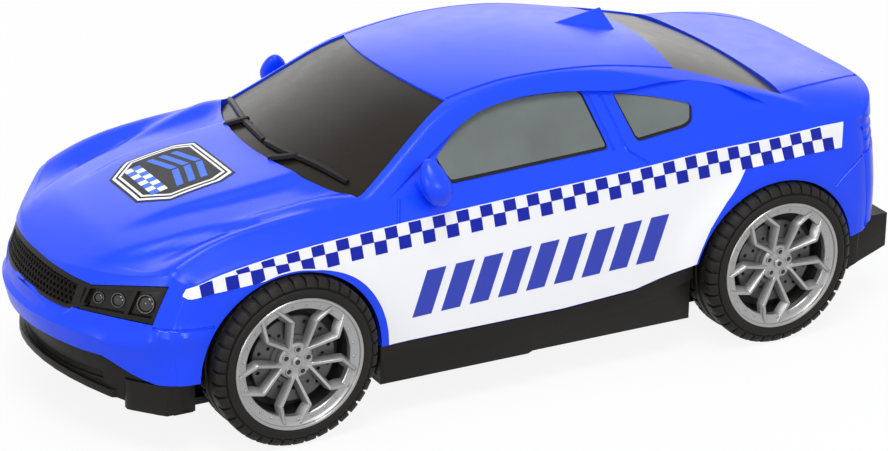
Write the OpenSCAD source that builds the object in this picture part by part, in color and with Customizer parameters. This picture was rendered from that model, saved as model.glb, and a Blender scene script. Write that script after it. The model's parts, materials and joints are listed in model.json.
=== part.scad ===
// Friction-driven toy police car: a moulded coupe body on a black chassis, with four wheels on two steel
// axles and a flywheel gear motor on the rear one. Millimetres. +X is forward, +Y is the car's left and +Z
// is up. The origin is on the ground, under the middle of the body.

/* [Body] */
// Length of the body over both bumpers
car_l = 246; // [220:1:280]
// Width of the body between the door panels
body_w = 92; // [84:1:104]
// Height of the roof above the ground
roof_h = 85.5; // [78:0.5:96]
// Thickness of the body shell
shell_wall = 1.8; // [1.2:0.1:2.4]
// Height of the body's lower edge at the doors
sill_h = 21; // [19:0.5:24]
// Thickness of the windows
glass_t = 1.2; // [0.8:0.1:1.8]
// Depth of the panes below the body's surface
pane_recess = 0.5; // [0.2:0.1:1]
// Thickness of the printed stickers
sticker_t = 0.15; // [0.1:0.05:0.3]

/* [Wheels] */
// Distance between the axles
wheelbase = 146.3; // [136:0.5:156]
// Distance of the axles' middle behind the body's middle
axle_setback = 5.6; // [2:0.2:9]
// Outer diameter of the tyres
tyre_d = 46; // [44:0.5:48]
// Width of the tyres
tyre_w = 15; // [12:0.5:17]
// Diameter of the rims' outer edge
rim_d = 36; // [32:0.5:38]
// Distance that the wheels stand out of the body's side
wheel_proud = 4.4; // [2:0.2:6]
// Diameter of the steel axles
axle_d = 3; // [2.4:0.1:4]
// Gap between the tyres and the wheel arches, in front of and behind the wheel
arch_gap = 2.6; // [2.4:0.1:4]
// Distance of the arches' centres below the axles
arch_drop = 2; // [1:0.2:2.4]
// Number of twin spokes in a rim
spoke_count = 5; // [4:1:7]
// Number of tread blocks round a tyre's shoulder
tread_count = 40; // [24:1:48]

/* [Chassis] */
// Clear height under the chassis
ground_gap = 10; // [8:0.5:12]
// Thickness of the chassis floor
floor_t = 2; // [1.6:0.1:3]
// Thickness of the chassis walls
chassis_wall = 2; // [1.6:0.1:3]
// Diameter of the body screws' shanks
screw_d = 2.4; // [2:0.1:3]

/* [Friction motor] */
// Module of the gear teeth
gear_module = 0.8; // [0.7:0.05:0.9]
// Teeth on the rear axle's gear
axle_teeth = 20; // [18:1:22]
// Teeth on the idler's pinion and on the flywheel's pinion
pinion_teeth = 10; // [9:1:12]
// Teeth on the idler's large gear
idler_teeth = 22; // [18:1:22]
// Face width of the gears
gear_w = 3.6; // [3:0.2:4.4]
// Diameter of the flywheel
flywheel_d = 20; // [16:0.5:21]
// Width of the flywheel
flywheel_w = 6; // [4:0.5:7]
// Thickness of the motor housing
motor_wall = 1.6; // [1.2:0.1:2]
// Diameter of the idler's and the flywheel's shafts
shaft_d = 2; // [1.6:0.1:2.2]

/* [Fits] */
// Radial clearance of a turning shaft in its bore
run_gap = 0.05; // [0.02:0.01:0.1]
// Clearance between pieces that seat in each other
seat_gap = 0.15; // [0.08:0.01:0.3]
// Clearance between pieces that turn past each other
spin_gap = 0.6; // [0.4:0.05:1]
// Play between meshing teeth
backlash = 0.16; // [0.1:0.02:0.24]

/* [Hidden] */

body_blue = [0.05, 0.22, 0.95];
trim_black = [0.08, 0.08, 0.08];
glass_smoke = [0.16, 0.14, 0.13];
sticker_white = [0.95, 0.95, 0.97];
rim_silver = [0.72, 0.72, 0.73];
steel = [0.6, 0.6, 0.62];
gear_white = [0.9, 0.9, 0.86];

// Overrun of every cut past the surface that it opens
over = 2;
// Gap under a sticker
sticker_gap = 0.03;

half_l = car_l / 2;
half_w = body_w / 2;
axle_z = tyre_d / 2;
axle_r = axle_d / 2;
front_x = wheelbase / 2 - axle_setback;
rear_x = -wheelbase / 2 - axle_setback;
wheel_face = half_w + wheel_proud;
arch_r = tyre_d / 2 + arch_gap;
arch_z = axle_z - arch_drop;

// Body lines. Each row is a place along the car, as a share of half its length, and a share of the height
// or of the half width there.
deck_shares = [
    [-1, 0.725], [-0.96, 0.753], [-0.83, 0.79], [-0.7, 0.81], [-0.325, 0.813], [0, 0.795], [0.325, 0.76],
    [0.47, 0.74], [0.61, 0.716], [0.73, 0.682], [0.845, 0.629], [0.91, 0.58], [0.96, 0.532], [1, 0.48]
];
crease_shares = [
    [-1, 0.678], [-0.894, 0.704], [-0.797, 0.708], [-0.634, 0.698], [-0.447, 0.692], [-0.28, 0.678],
    [0.057, 0.658], [0.341, 0.64], [0.569, 0.615], [0.707, 0.585], [0.789, 0.552], [0.862, 0.52], [1, 0.468]
];
cabin_shares = [
    [-1, 0.575], [-0.772, 0.754], [-0.7, 0.812], [-0.585, 0.877], [-0.455, 0.939], [-0.268, 0.987],
    [-0.114, 1], [0.041, 0.987], [0.171, 0.95], [0.325, 0.849], [0.472, 0.74], [0.569, 0.667], [1, 0.36]
];
cabin_crown_shares = [
    [-0.772, 0.016], [-0.7, 0.0175], [-0.57, 0.03], [-0.44, 0.044], [-0.244, 0.0386], [-0.057, 0.036],
    [0.122, 0.044], [0.252, 0.055], [0.472, 0.053], [0.569, 0.053]
];
crown_width_share = 0.652;
deck_power_shares = [[-1, 7], [-0.65, 9], [0, 6], [0.41, 3.4], [0.61, 2.8], [0.96, 2.4], [1, 2.4]];
inner_fold_shares = [[-1, 0.467], [0.407, 0.467], [0.593, 0.457], [0.74, 0.387], [0.846, 0.335], [1, 0.26]];
inner_fold_rise_shares = [
    [-1, 0], [0, 0], [0.2, 0], [0.407, 0.0257], [0.593, 0.022], [0.74, 0.0117], [0.846, 0], [1, 0]
];
outer_fold_shares = [
    [-1, 0.87], [0.366, 0.87], [0.488, 0.804], [0.7, 0.663], [0.772, 0.609], [0.846, 0.543], [0.943, 0.424],
    [1, 0.37]
];
outer_fold_rise_shares = [
    [-1, 0], [0, 0], [0.2, 0], [0.366, 0.0117], [0.488, 0.03], [0.65, 0.035], [0.772, 0.0234],
    [0.878, 0.0105], [0.951, 0], [1, 0]
];
fold_width_share = 0.042;
side_lean_share = 0.6;
side_tuck_share = 0.127;
nose_taper_shares = [0.488, 0.407, 0.0196];
tail_taper_shares = [0.61, 0.325, 0.026];
shoulder_share = 0.015;

// Bumper profiles. Each row is a share of the height of the hood's lip or the tail's lip, and a share of
// half the length. The last row is the lip itself.
nose_shares = [
    [0, 0.955], [0.18, 0.96], [0.31, 0.976], [0.48, 0.987], [0.66, 0.998], [0.725, 1], [0.81, 0.994],
    [0.9, 0.98], [1, 0.961]
];
tail_shares = [[0, 0.97], [0.3, 0.985], [0.45, 0.998], [0.53, 1], [0.7, 0.99], [0.87, 0.976], [1, 0.967]];
nose_sweep_share = 0.18;
nose_sweep_power = 2.18;
nose_bend_share = 0.45;
tail_sweep_share = 0.101;
tail_sweep_power = 3.86;
tail_bend_share = 0.6;

// Where the body's cross-sections stand, from the tail's lip to the hood's lip, and the rows up its sides
station_shares = [
    -1, -0.985, -0.95, -0.9, -0.83, -0.76, -0.71, -0.66, -0.6, -0.52, -0.44, -0.36, -0.28, -0.2, -0.11, -0.03,
    0.05, 0.12, 0.17, 0.22, 0.27, 0.325, 0.38, 0.42, 0.455, 0.49, 0.53, 0.58, 0.64, 0.7, 0.76, 0.81, 0.86,
    0.91, 0.955, 0.985, 1
];
side_row_shares = [0, 0.2, 0.4, 0.58, 0.76, 0.9, 1];
face_top_share = 0.95;

// Edge of the blue body along the side: places along the car and shares of the sill's height
sill_shares = [
    [-1.1, 1.32], [-1, 1.32], [-0.848, 1.21], [-0.7, 1.21], [-0.433, 1.27], [-0.283, 1.06], [-0.1, 1],
    [0.33, 1], [1.1, 1]
];
// Edge of the front bumper over the intake: shares of the half width and of the sill's height
intake_shares = [[0, 1.31], [0.3, 1.31], [0.65, 1.27], [0.82, 1.08], [0.92, 1], [1, 1]];
intake_width_share = 0.65;

// Windows. Outlines of the side windows are shares of half the length and of the roof's height.
door_window_shares = [
    [0.187, 0.785], [0.17, 0.716], [-0.06, 0.729], [-0.217, 0.737], [-0.19, 0.9], [-0.1, 0.908],
    [-0.03, 0.908], [0.03, 0.901], [0.075, 0.886], [0.135, 0.838]
];
quarter_window_shares = [
    [-0.287, 0.743], [-0.41, 0.761], [-0.431, 0.772], [-0.444, 0.819], [-0.4, 0.838], [-0.35, 0.856],
    [-0.261, 0.88]
];
// Wiper blades and their arms on the windscreen: shares of half the length and of the half width
wiper_shares = [
    [[0.443, 0.08], [0.4315, 0.25], [0.414, 0.42], [0.393, 0.6], [0.373, 0.745]],
    [[0.366, -0.86], [0.388, -0.7], [0.41, -0.5], [0.4275, -0.3], [0.4385, -0.1], [0.4435, 0.02]],
    [[0.46, 0.225], [0.4345, 0.345]],
    [[0.4505, -0.41], [0.4395, -0.3]]
];
wiper_w = 1.2;
wiper_h = 0.9;
// Windscreen and rear window in plan: place of the middle and of the corner, and the corner's half width
screen_base_shares = [0.472, 0.382, 0.887];
screen_top_shares = [0.171, 0.126, 0.635];
rear_top_shares = [-0.455, -0.441, 0.63];
rear_base_shares = [-0.695, -0.68, 0.833];
// Lowest height of the windscreen's and the rear window's cuts
screen_floor_share = 0.66;
// Points across and along a window
pane_columns = 12;
pane_rows = 6;

// Front lamps: corners as shares of half the length, the half width and the roof's height
lamp_corner_shares = [
    [0.934, 0.55, 0.516], [0.966, 0.55, 0.452], [0.847, 0.905, 0.441], [0.81, 0.92, 0.556]
];
lamp_depth = 1.6;
// Width of the lamps' frame, depth of the pocket inside it, and the sides of the bar between the lenses
lamp_rim = 0.8;
lamp_pocket = 0.7;
lamp_bar_shares = [0.58, 0.62];
lens_places_shares = [[0.17, 0.6], [0.42, 0.6], [0.8, 0.58]];
lens_sizes_shares = [0.24, 0.26, 0.36];
// Grille: half width, bottom and top
grille_width_share = 0.52;
grille_bottom_share = 0.438;
grille_top_share = 0.522;
grille_depth = 1.6;
grille_columns = 12;
// Frame round the grille's mesh, and the mesh's cells
grille_rim = 0.9;
grille_pitch = 2.2;
grille_web = 0.45;
front_recess = 0.5;

// Roof fin: places along the car, half width and heights
fin_shares = [-0.268, -0.39, -0.405];
fin_width_share = 0.11;
fin_height_share = 1.02;
// Mirrors: middle of the shell and its radii, as shares of half the length, half width and height
mirror_place_shares = [0.206, 1, 0.712];
mirror_r = 4;
mirror_arm_r = 1.5;
mirror_reach = 5;

// Side stickers: the stripe's lower edge, as places along the car and shares of the roof's height
stripe_low_shares = [
    [-0.81, 0.614], [-0.71, 0.6145], [-0.54, 0.605], [-0.2, 0.586], [0.19, 0.5625], [0.41, 0.5485],
    [0.55, 0.537], [0.68, 0.532], [0.77, 0.52], [0.79, 0.535]
];
// Gap between the stripe and the crease, and the least height of its tip
stripe_drop = 0.3;
stripe_tip_h = 0.4;
panel_sill_gap = 0.6;
panel_arch_gap = 1;
stripe_arch_gap = 0.3;
// Places of the door panel's rear edge, at the sill and at the stripe
panel_rear_shares = [-0.406, -0.55];
// Columns of the sticker over the whole car and round a quarter of an arch
sticker_columns = 36;
arch_columns = 8;
sticker_rows = 3;
// Hood patch: place along the car and half width
patch_shares = [[0.55, 0.27], [0.59, 0.325], [0.71, 0.325], [0.765, 0.19]];
patch_columns = 12;

// Wheels: profile places as shares of the rim's and the tyre's radius and of the width
rim_seat_share = 0.89;
rim_lip_share = 0.955;
lip_step = 1.2;
spoke_recess = 1.6;
spoke_t = 2.4;
hub_step = 0.2;
// Turn of the spokes from upright, in degrees
spoke_turn = 6.6;
spoke_shares = [
    [0.18, 0.09], [0.63, 0.275], [0.93, 0.19], [0.93, 0.085], [0.63, 0.175], [0.37, 0], [0.63, -0.175],
    [0.93, -0.085], [0.93, -0.19], [0.63, -0.275], [0.18, -0.09]
];
hub_share = 0.3;
cap_share = 0.17;
cap_rise = 0.5;
rivet_h = 0.4;
lug_ring_share = 0.235;
lug_r_share = 0.045;
rivet_count = 25;
rivet_r_share = 0.018;
sleeve_wall = 1.5;
disc_depth_share = 0.43;
disc_share = 0.65;
disc_t = 1.6;
plate_t = 1.2;
disc_hole_count = 12;
disc_hole_share = 0.033;
// Radii of the rings of drilled holes
disc_ring_shares = [0.44, 0.56];
tyre_shares = [
    [0, 0.012], [0.5, 0], [0.84, 0.053], [1, 0.147], [1, 0.853], [0.84, 0.947], [0.5, 1], [0, 0.988]
];
tread_notch_w = 0.9;
tread_notch_depth = 0.9;
tread_notch_share = 0.2;

// Chassis
skirt_set = 1;
valance_set = 3;
// Rise of the floor towards the front and the rear end
nose_rise = 7.5;
tail_rise = 7;
// Edge of the floor in front of the valance, and the slot in the valance
splitter_out = 1.5;
slot_depth = 0.8;
slot_h = 2;
slot_rise = 8.5;
slot_width_share = 0.57;
// Blocks under the front bumper's corners: inner and outer side, length and distance above the floor
foot_shares = [0.7, 0.92];
foot_l = 15;
foot_rise = 1;
// Bar behind the rear wall, and the slanted ends of the rear wall
bar_width_share = 0.82;
bar_set = 1;
bar_h = 9.5;
corner_rise = 5.2;
corner_slope_share = 1.25;
// Step in the skirts' outer face: places along the car and shares of the sill's height
skirt_step = 1.2;
skirt_step_shares = [[-0.008, 0.45], [-0.137, 0.786], [-0.276, 0.805], [-0.32, 0.88], [-0.45, 1.07]];
bearing_t = 3;
bearing_half_l = 5;
bearing_rise = 6;
hub_gap = 0.3;
// Body posts: shares of the arch radius and the half width in front, of half the length and width behind
front_post_shares = [0.82, 0.3];
rear_post_shares = [-0.85, 0.42];
post_r = 3.2;
boss_h = 5;
screw_head_r = 2.4;
screw_head_h = 1.6;
screw_reach = 9;
head_gap = 0.3;
cover_t = 2;
cover_screw_share = 0.45;

// Friction motor
idler_lean = 30;
flywheel_lean = -10;
tooth_addendum = 0.85;
tooth_dedendum = 1.1;
pressure_angle = 20;
flank_steps = 4;
gear_bore_wall = 1.4;
idler_sleeve_wall = 0.7;
flywheel_dish_share = 0.4;
flywheel_rim_share = 0.72;
lug_l = 6;
lug_t = 2;
motor_screw_d = 2;

axle_gear_r = gear_module * axle_teeth / 2;
pinion_r = gear_module * pinion_teeth / 2;
idler_r = gear_module * idler_teeth / 2;
tip = gear_module * tooth_addendum;
idler_x = rear_x + (axle_gear_r + pinion_r) * cos(idler_lean);
idler_z = axle_z + (axle_gear_r + pinion_r) * sin(idler_lean);
flywheel_x = idler_x + (idler_r + pinion_r) * cos(flywheel_lean);
flywheel_z = idler_z + (idler_r + pinion_r) * sin(flywheel_lean);
shaft_r = shaft_d / 2;
// Planes of the two gear stages and of the flywheel, from the car's middle towards its left
first_plane = 0;
second_plane = first_plane + gear_w + spin_gap;
motor_left = second_plane + gear_w + spin_gap + motor_wall;
flywheel_plane = first_plane - spin_gap - flywheel_w;
motor_right = flywheel_plane - spin_gap - motor_wall;
motor_back = rear_x - axle_gear_r - tip - spin_gap - motor_wall;
motor_front = flywheel_x + flywheel_d / 2 + spin_gap + motor_wall;
motor_bottom = axle_z - axle_gear_r - tip - spin_gap - motor_wall;
motor_top = idler_z + idler_r + tip + spin_gap + motor_wall;
motor_split = (motor_left + motor_right) / 2;
motor_corner = 3;

floor_top = ground_gap + floor_t;
chassis_half_w = half_w - skirt_set;
wheel_inner = wheel_face - tyre_w;
bearing_outer = wheel_inner - hub_gap - hub_gap;
axle_half = wheel_face - spoke_recess - spoke_t;

// A smooth curve through a table of places and values
function knot_index(table, t) = max([for (k = [0 : len(table) - 2]) if (k == 0 || t >= table[k][0]) k]);
function knot_slope(table, k) =
    let (a = max(k - 1, 0), b = min(k + 1, len(table) - 1))
    (table[b][1] - table[a][1]) / (table[b][0] - table[a][0]);
function curve(table, place) =
    let (
        t = min(max(place, table[0][0]), table[len(table) - 1][0]),
        k = knot_index(table, t),
        span = table[k + 1][0] - table[k][0],
        u = (t - table[k][0]) / span
    )
    table[k][1] * (2 * u ^ 3 - 3 * u ^ 2 + 1)
    + knot_slope(table, k) * span * (u ^ 3 - 2 * u ^ 2 + u)
    + table[k + 1][1] * (3 * u ^ 2 - 2 * u ^ 3)
    + knot_slope(table, k + 1) * span * (u ^ 3 - u ^ 2);
function ramp(t) = min(max(t, 0), 1);

// Body surfaces
function crease_z(x) = roof_h * curve(crease_shares, x / half_l);
function fold_y(shares, x) = half_w * curve(shares, x / half_l);
function fold_step(shares, rise_shares, x, y) =
    roof_h * curve(rise_shares, x / half_l)
    * (1 - ramp((abs(y) - fold_y(shares, x)) / (half_w * fold_width_share)));
function deck_z(x, y) =
    let (
        s = x / half_l,
        crease = crease_z(x),
        rises = roof_h * (curve(inner_fold_rise_shares, s) + curve(outer_fold_rise_shares, s)),
        crown = roof_h * curve(deck_shares, s) - crease - rises
    )
    crease + crown * (1 - (abs(y) / half_w) ^ curve(deck_power_shares, s))
    + fold_step(inner_fold_shares, inner_fold_rise_shares, x, y)
    + fold_step(outer_fold_shares, outer_fold_rise_shares, x, y);
function cabin_z(x, y) =
    let (s = x / half_l)
    roof_h * (curve(cabin_shares, s) - curve(cabin_crown_shares, s) * (y / half_w / crown_width_share) ^ 2);
function top_z(x, y) = max(deck_z(x, y), cabin_z(x, y));
function taper(shares, s) = half_w * shares[2] * (max(s - shares[0], 0) / shares[1]) ^ 2;
function waist_y(x) = half_w - taper(nose_taper_shares, x / half_l) - taper(tail_taper_shares, -x / half_l);
function side_y(x, z) =
    let (below = crease_z(x) - z)
    waist_y(x) - side_lean_share * max(-below, 0) - half_w * side_tuck_share * (max(below, 0) / roof_h) ^ 2;
function nose_x(y, z) =
    let (lip = top_z(half_l * nose_shares[len(nose_shares) - 1][1] - nose_sweep(y), y))
    half_l * curve(nose_shares, z / lip) - nose_sweep(y);
function tail_x(y, z) =
    let (lip = top_z(tail_sweep(y) - half_l * tail_shares[len(tail_shares) - 1][1], y))
    tail_sweep(y) - half_l * curve(tail_shares, z / lip);

// Where the roof or the deck meets the leaning side
function rail_y(x, inset, low, high, steps) =
    let (middle = (low + high) / 2, side_z = crease_z(x) + (waist_y(x) - inset - middle) / side_lean_share)
    steps == 0 ? high
    : top_z(x, middle) - inset > side_z ? rail_y(x, inset, low, middle, steps - 1)
    : rail_y(x, inset, middle, high, steps - 1);

// A place on the body: the stations bend round the nose and the tail, and follow the bumpers' profiles
function nose_bend(s) = ramp((s - nose_bend_share) / (1 - nose_bend_share)) ^ 2;
function tail_bend(s) = ramp((-s - tail_bend_share) / (1 - tail_bend_share)) ^ 2;
function nose_sweep(y) = half_l * nose_sweep_share * (abs(y) / half_w) ^ nose_sweep_power;
function tail_sweep(y) = half_l * tail_sweep_share * (abs(y) / half_w) ^ tail_sweep_power;
function place_x(s, y, level, inset) =
    let (
        nose = half_l * nose_shares[len(nose_shares) - 1][1],
        tail = half_l * tail_shares[len(tail_shares) - 1][1]
    )
    s * (s > 0 ? nose : tail) - inset * s
    + nose_bend(s) * (half_l * curve(nose_shares, level) - nose - nose_sweep(y))
    - tail_bend(s) * (half_l * curve(tail_shares, level) - tail - tail_sweep(y));
function sill_line(x) = sill_h * lookup(x / half_l, sill_shares);
function row_z(x, row, inset) = sill_line(x) + row * (crease_z(x) - inset - sill_line(x));

// Columns across the top of a station: the roof rail, the two hood folds and the middle
function column_ys(s, inset) =
    let (
        x = place_x(s, half_w, 1, inset),
        shoulder = half_w * shoulder_share,
        rail = min(rail_y(x, inset, 0, half_w, 14), waist_y(x) - inset - shoulder),
        squeeze = min(1, rail / (half_w - 2 * shoulder)),
        inner = squeeze * fold_y(inner_fold_shares, x),
        outer = squeeze * fold_y(outer_fold_shares, x),
        wall = squeeze * half_w * fold_width_share
    )
    [rail, outer + wall, outer, (outer + inner + wall) / 2, inner + wall, inner, inner / 2, 0];
function half_section(s, inset) =
    concat(
        [
            for (r = side_row_shares)
                let (
                    edge = place_x(s, half_w, 1, inset),
                    x = place_x(s, half_w, row_z(edge, r, inset) / crease_z(edge), inset),
                    z = row_z(x, r, inset)
                )
                [x, side_y(x, z) - inset, z]
        ],
        [for (y = column_ys(s, inset)) let (x = place_x(s, y, 1, inset)) [x, y, top_z(x, y) - inset]]
    );
function mirrored(half) = [for (k = [len(half) - 2 : -1 : 0]) [half[k].x, -half[k].y, half[k].z]];
function section_ring(s, inset) = let (half = half_section(s, inset)) concat(half, mirrored(half));

// Points of the nose's or the tail's face, row by row from the lower edge up
function face_points(s, inset) =
    let (
        half = column_ys(s, inset),
        ys = concat(half, [for (k = [len(half) - 2 : -1 : 0]) -half[k]])
    )
    [
        for (r = side_row_shares, y = ys)
            let (
                low = sill_h * (s > 0 ? lookup(abs(y) / half_w, intake_shares) : sill_shares[0][1]),
                high = top_z(place_x(s, y, 1, inset), y) - inset,
                z = low + r * face_top_share * (high - low)
            )
            [place_x(s, y, z / high, inset), y, z]
    ];

// One skin of the body: rings of points along the car, with a face at each end
function skin_points(inset) =
    concat(
        [for (s = station_shares) each section_ring(s, inset)],
        face_points(station_shares[0], inset),
        face_points(station_shares[len(station_shares) - 1], inset)
    );
rows = len(side_row_shares);
tops = len(section_ring(0, 0)) - 2 * rows;
ring = tops + 2 * rows;
face_base = len(station_shares) * ring;
skin_size = face_base + 2 * rows * tops;
// Index of a point of an end's face, in a row, counted across from the left side to the right side
function face_index(end, row, column) =
    let (edge = end * (len(station_shares) - 1) * ring)
    column == 0 ? edge + row
    : column > tops ? edge + ring - 1 - row
    : row == rows ? edge + rows + column - 1
    : face_base + end * rows * tops + row * tops + column - 1;
function quad(a, b, c, d) = [[a, b, c], [a, c, d]];
function turned(faces, from) = [for (f = faces) [from + f[2], from + f[1], from + f[0]]];
function shifted(faces, from) = [for (f = faces) [from + f[0], from + f[1], from + f[2]]];
function skin_faces() =
    concat(
        [
            for (i = [0 : len(station_shares) - 2], j = [0 : ring - 2])
                each quad(i * ring + j, i * ring + j + 1, (i + 1) * ring + j + 1, (i + 1) * ring + j)
        ],
        [for (end = [0, 1]) each end == 0 ? turned(end_faces(end), 0) : end_faces(end)]
    );
function end_faces(end) =
    concat(
        [
            for (r = [0 : rows - 2], c = [0 : tops])
                each quad(
                    face_index(end, r, c), face_index(end, r + 1, c),
                    face_index(end, r + 1, c + 1), face_index(end, r, c + 1)
                )
        ],
        [
            for (c = [1 : tops - 1])
                each quad(
                    face_index(end, rows - 1, c), face_index(end, rows, c),
                    face_index(end, rows, c + 1), face_index(end, rows - 1, c + 1)
                )
        ],
        [
            [face_index(end, rows - 1, 0), face_index(end, rows, 1), face_index(end, rows - 1, 1)],
            [
                face_index(end, rows - 1, tops), face_index(end, rows, tops),
                face_index(end, rows - 1, tops + 1)
            ]
        ]
    );
// The rim that joins the outer and the inner skin along the lower edge
function rim_path() =
    concat(
        [for (i = [0 : len(station_shares) - 1]) i * ring],
        [for (c = [1 : tops]) face_index(1, 0, c)],
        [for (i = [len(station_shares) - 1 : -1 : 0]) i * ring + ring - 1],
        [for (c = [tops : -1 : 1]) face_index(0, 0, c)]
    );
module moulded_shell(wall) {
    path = rim_path();
    rim = [
        for (k = [0 : len(path) - 1])
            let (a = path[k], b = path[(k + 1) % len(path)])
            each quad(a, b, b + skin_size, a + skin_size)
    ];
    polyhedron(
        concat(skin_points(0), skin_points(wall)),
        concat(turned(skin_faces(), 0), shifted(skin_faces(), skin_size), turned(rim, 0)),
        convexity = 10
    );
}

// A solid through closed rings of points, each made of a run out and the same run back
module loft(rings) {
    n = len(rings[0]);
    last = (len(rings) - 1) * n;
    sides = [
        for (i = [0 : len(rings) - 2], j = [0 : n - 1])
            let (a = i * n + j, b = i * n + (j + 1) % n)
            each [[a, b, a + n], [b, b + n, a + n]]
    ];
    strip = [for (k = [0 : n / 2 - 2]) each quad(k, k + 1, n - 2 - k, n - 1 - k)];
    polyhedron(
        [for (r = rings) each r],
        concat(sides, turned(strip, 0), shifted(strip, last)),
        convexity = 10
    );
}

// Drawings in the car's side view, pushed out from one width to another
module across(from_y, to_y) {
    translate([0, to_y, 0]) rotate([90, 0, 0]) linear_extrude(to_y - from_y) children();
}
// Drawings in the car's front view, pushed out from one place along the car to another
module lengthways(from_x, to_x) {
    translate([from_x, 0, 0]) rotate([90, 0, 90]) linear_extrude(to_x - from_x) children();
}
function side_points(shares, height) = [for (p = shares) [p[0] * half_l, p[1] * height]];
module both_sides() {
    children();
    mirror([0, 1, 0]) children();
}

// Windscreen and rear window in plan: a place across and a place between the lower and the upper edge
function bowed_point(shares, k) =
    [half_l * (shares[0] + (shares[1] - shares[0]) * k ^ 2), k * shares[2] * half_w];
function bowed_edge(shares, turn) = [for (k = [-1 : 0.25 : 1]) bowed_point(shares, turn * k)];
module screen_cut(edges) {
    translate([0, 0, roof_h * screen_floor_share])
        linear_extrude(roof_h) polygon(concat(bowed_edge(edges[0], 1), bowed_edge(edges[1], -1)));
}
screen_edges = [screen_base_shares, screen_top_shares];
rear_edges = [rear_base_shares, rear_top_shares];
module window_cuts() {
    screen_cut(screen_edges);
    screen_cut(rear_edges);
    for (shares = [door_window_shares, quarter_window_shares])
        across(-half_w, half_w) polygon(side_points(shares, roof_h));
}
// A curved window that fills an opening in the roof's surface
function pane_ring(edges, k) =
    let (
        base = bowed_point(edges[0], k),
        top = bowed_point(edges[1], k),
        trim = seat_gap / norm(top - base),
        run = [for (r = [0 : pane_rows]) base + (top - base) * (trim + (1 - 2 * trim) * r / pane_rows)]
    )
    concat(
        [for (p = run) [p.x, p.y, cabin_z(p.x, p.y) - pane_recess]],
        [
            for (r = [pane_rows : -1 : 0])
                let (p = run[r])
                [p.x, p.y, cabin_z(p.x, p.y) - pane_recess - glass_t]
        ]
    );
module curved_pane(edges, turn) {
    reach = 1 - 2 * seat_gap / half_w;
    loft([for (c = [0 : pane_columns]) pane_ring(edges, turn * reach * (2 * c / pane_columns - 1))]);
}
module windscreen() { color(glass_smoke) curved_pane(screen_edges, 1); }
module rear_window() { color(glass_smoke) curved_pane(rear_edges, -1); }

// A flat window that fills an opening in the leaning side
module side_pane(shares) {
    outline = side_points(shares, roof_h);
    n = len(outline);
    middle = [for (a = [0, 1]) sum([for (p = outline) p[a]]) / n];
    trimmed = [for (p = outline) p - unit(p - middle) * 2 * seat_gap];
    layer = concat(trimmed, [middle]);
    polyhedron(
        concat(
            [for (p = layer) [p[0], side_y(p[0], p[1]) - pane_recess, p[1]]],
            [for (p = layer) [p[0], side_y(p[0], p[1]) - pane_recess - glass_t, p[1]]]
        ),
        [
            for (k = [0 : n - 1])
                let (j = (k + 1) % n, m = n + 1)
                each [[j, k, n], [m + k, m + j, m + n], [m + k, k, j], [m + k, j, m + j]]
        ]
    );
}
module door_window_left() { color(glass_smoke) side_pane(door_window_shares); }
module door_window_right() { mirror([0, 1, 0]) door_window_left(); }
module quarter_window_left() { color(glass_smoke) side_pane(quarter_window_shares); }
module quarter_window_right() { mirror([0, 1, 0]) quarter_window_left(); }

// Wiper blades and arms that lie on the windscreen
module wipers() {
    color(trim_black)
        for (w = wiper_shares)
            loft([
                for (p = w)
                    let (
                        low = [p[0] * half_l, p[1] * half_w],
                        high = low - [wiper_w, 0],
                        base_z = cabin_z(low.x, low.y) - pane_recess + seat_gap,
                        top_edge = cabin_z(high.x, high.y) - pane_recess + seat_gap
                    )
                    [
                        [low.x, low.y, base_z], [low.x, low.y, base_z + wiper_h],
                        [high.x, high.y, top_edge + wiper_h], [high.x, high.y, top_edge]
                    ]
            ]);
}

// Front lamp block: its four corners moved along the lamp's facing direction and away from its middle
function lamp_corners() =
    [for (c = lamp_corner_shares) [c[0] * half_l, c[1] * half_w, c[2] * roof_h]];
function middle_of(points) = [for (a = [0 : 2]) sum([for (p = points) p[a]]) / len(points)];
function sum(values) = [for (v = values) 1] * values;
function unit(v) = v / norm(v);
function lamp_facing() = let (c = lamp_corners()) unit(cross(c[1] - c[0], c[2] - c[0]));
function lamp_ring(out, grow) =
    let (c = lamp_corners(), m = middle_of(c))
    [for (p = c) p + lamp_facing() * out + unit(p - m) * grow];
function lamp_point(share) =
    let (c = lamp_ring(-front_recess, 0))
    (c[0] * (1 - share[0]) + c[3] * share[0]) * share[1]
    + (c[1] * (1 - share[0]) + c[2] * share[0]) * (1 - share[1]);

front_post_x = front_x + front_post_shares[0] * arch_r;
rear_post_x = rear_post_shares[0] * half_l;
function post_places() = [
    for (side = [-1, 1])
        each [
            [front_post_x, side * front_post_shares[1] * half_w],
            [rear_post_x, side * rear_post_shares[1] * half_w]
        ]
];

// A post ends inside the shell's wall, at the lowest point round its edge
function post_top(p) =
    min([for (a = [0 : 45 : 315]) top_z(p.x + post_r * cos(a), p.y + post_r * sin(a))]) - shell_wall / 2;

module body_shell() {
    color(body_blue)
        difference() {
            union() {
                moulded_shell(shell_wall);
                for (p = post_places())
                    translate([p.x, p.y, ground_gap + boss_h + seat_gap])
                        cylinder(h = post_top(p) - ground_gap - boss_h - seat_gap, r = post_r);
                roof_fin();
            }
            for (x = [front_x, rear_x])
                both_sides()
                    across(bearing_outer - over, half_w + over) translate([x, arch_z]) circle(arch_r);
            window_cuts();
            both_sides()
                loft([lamp_ring(over, seat_gap), lamp_ring(-front_recess - lamp_depth - over, seat_gap)]);
            grille_cut();
            for (p = post_places())
                translate([p.x, p.y, ground_gap])
                    cylinder(h = boss_h + screw_reach, r = screw_d / 2 + seat_gap);
        }
}

module grille_cut() {
    width = half_w * grille_width_share + seat_gap;
    bottom = roof_h * grille_bottom_share - seat_gap;
    lengthways(front_post_x + post_r + over, half_l + over)
        translate([-width, bottom])
            square([2 * width, roof_h * grille_top_share + seat_gap - bottom]);
}

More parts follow.
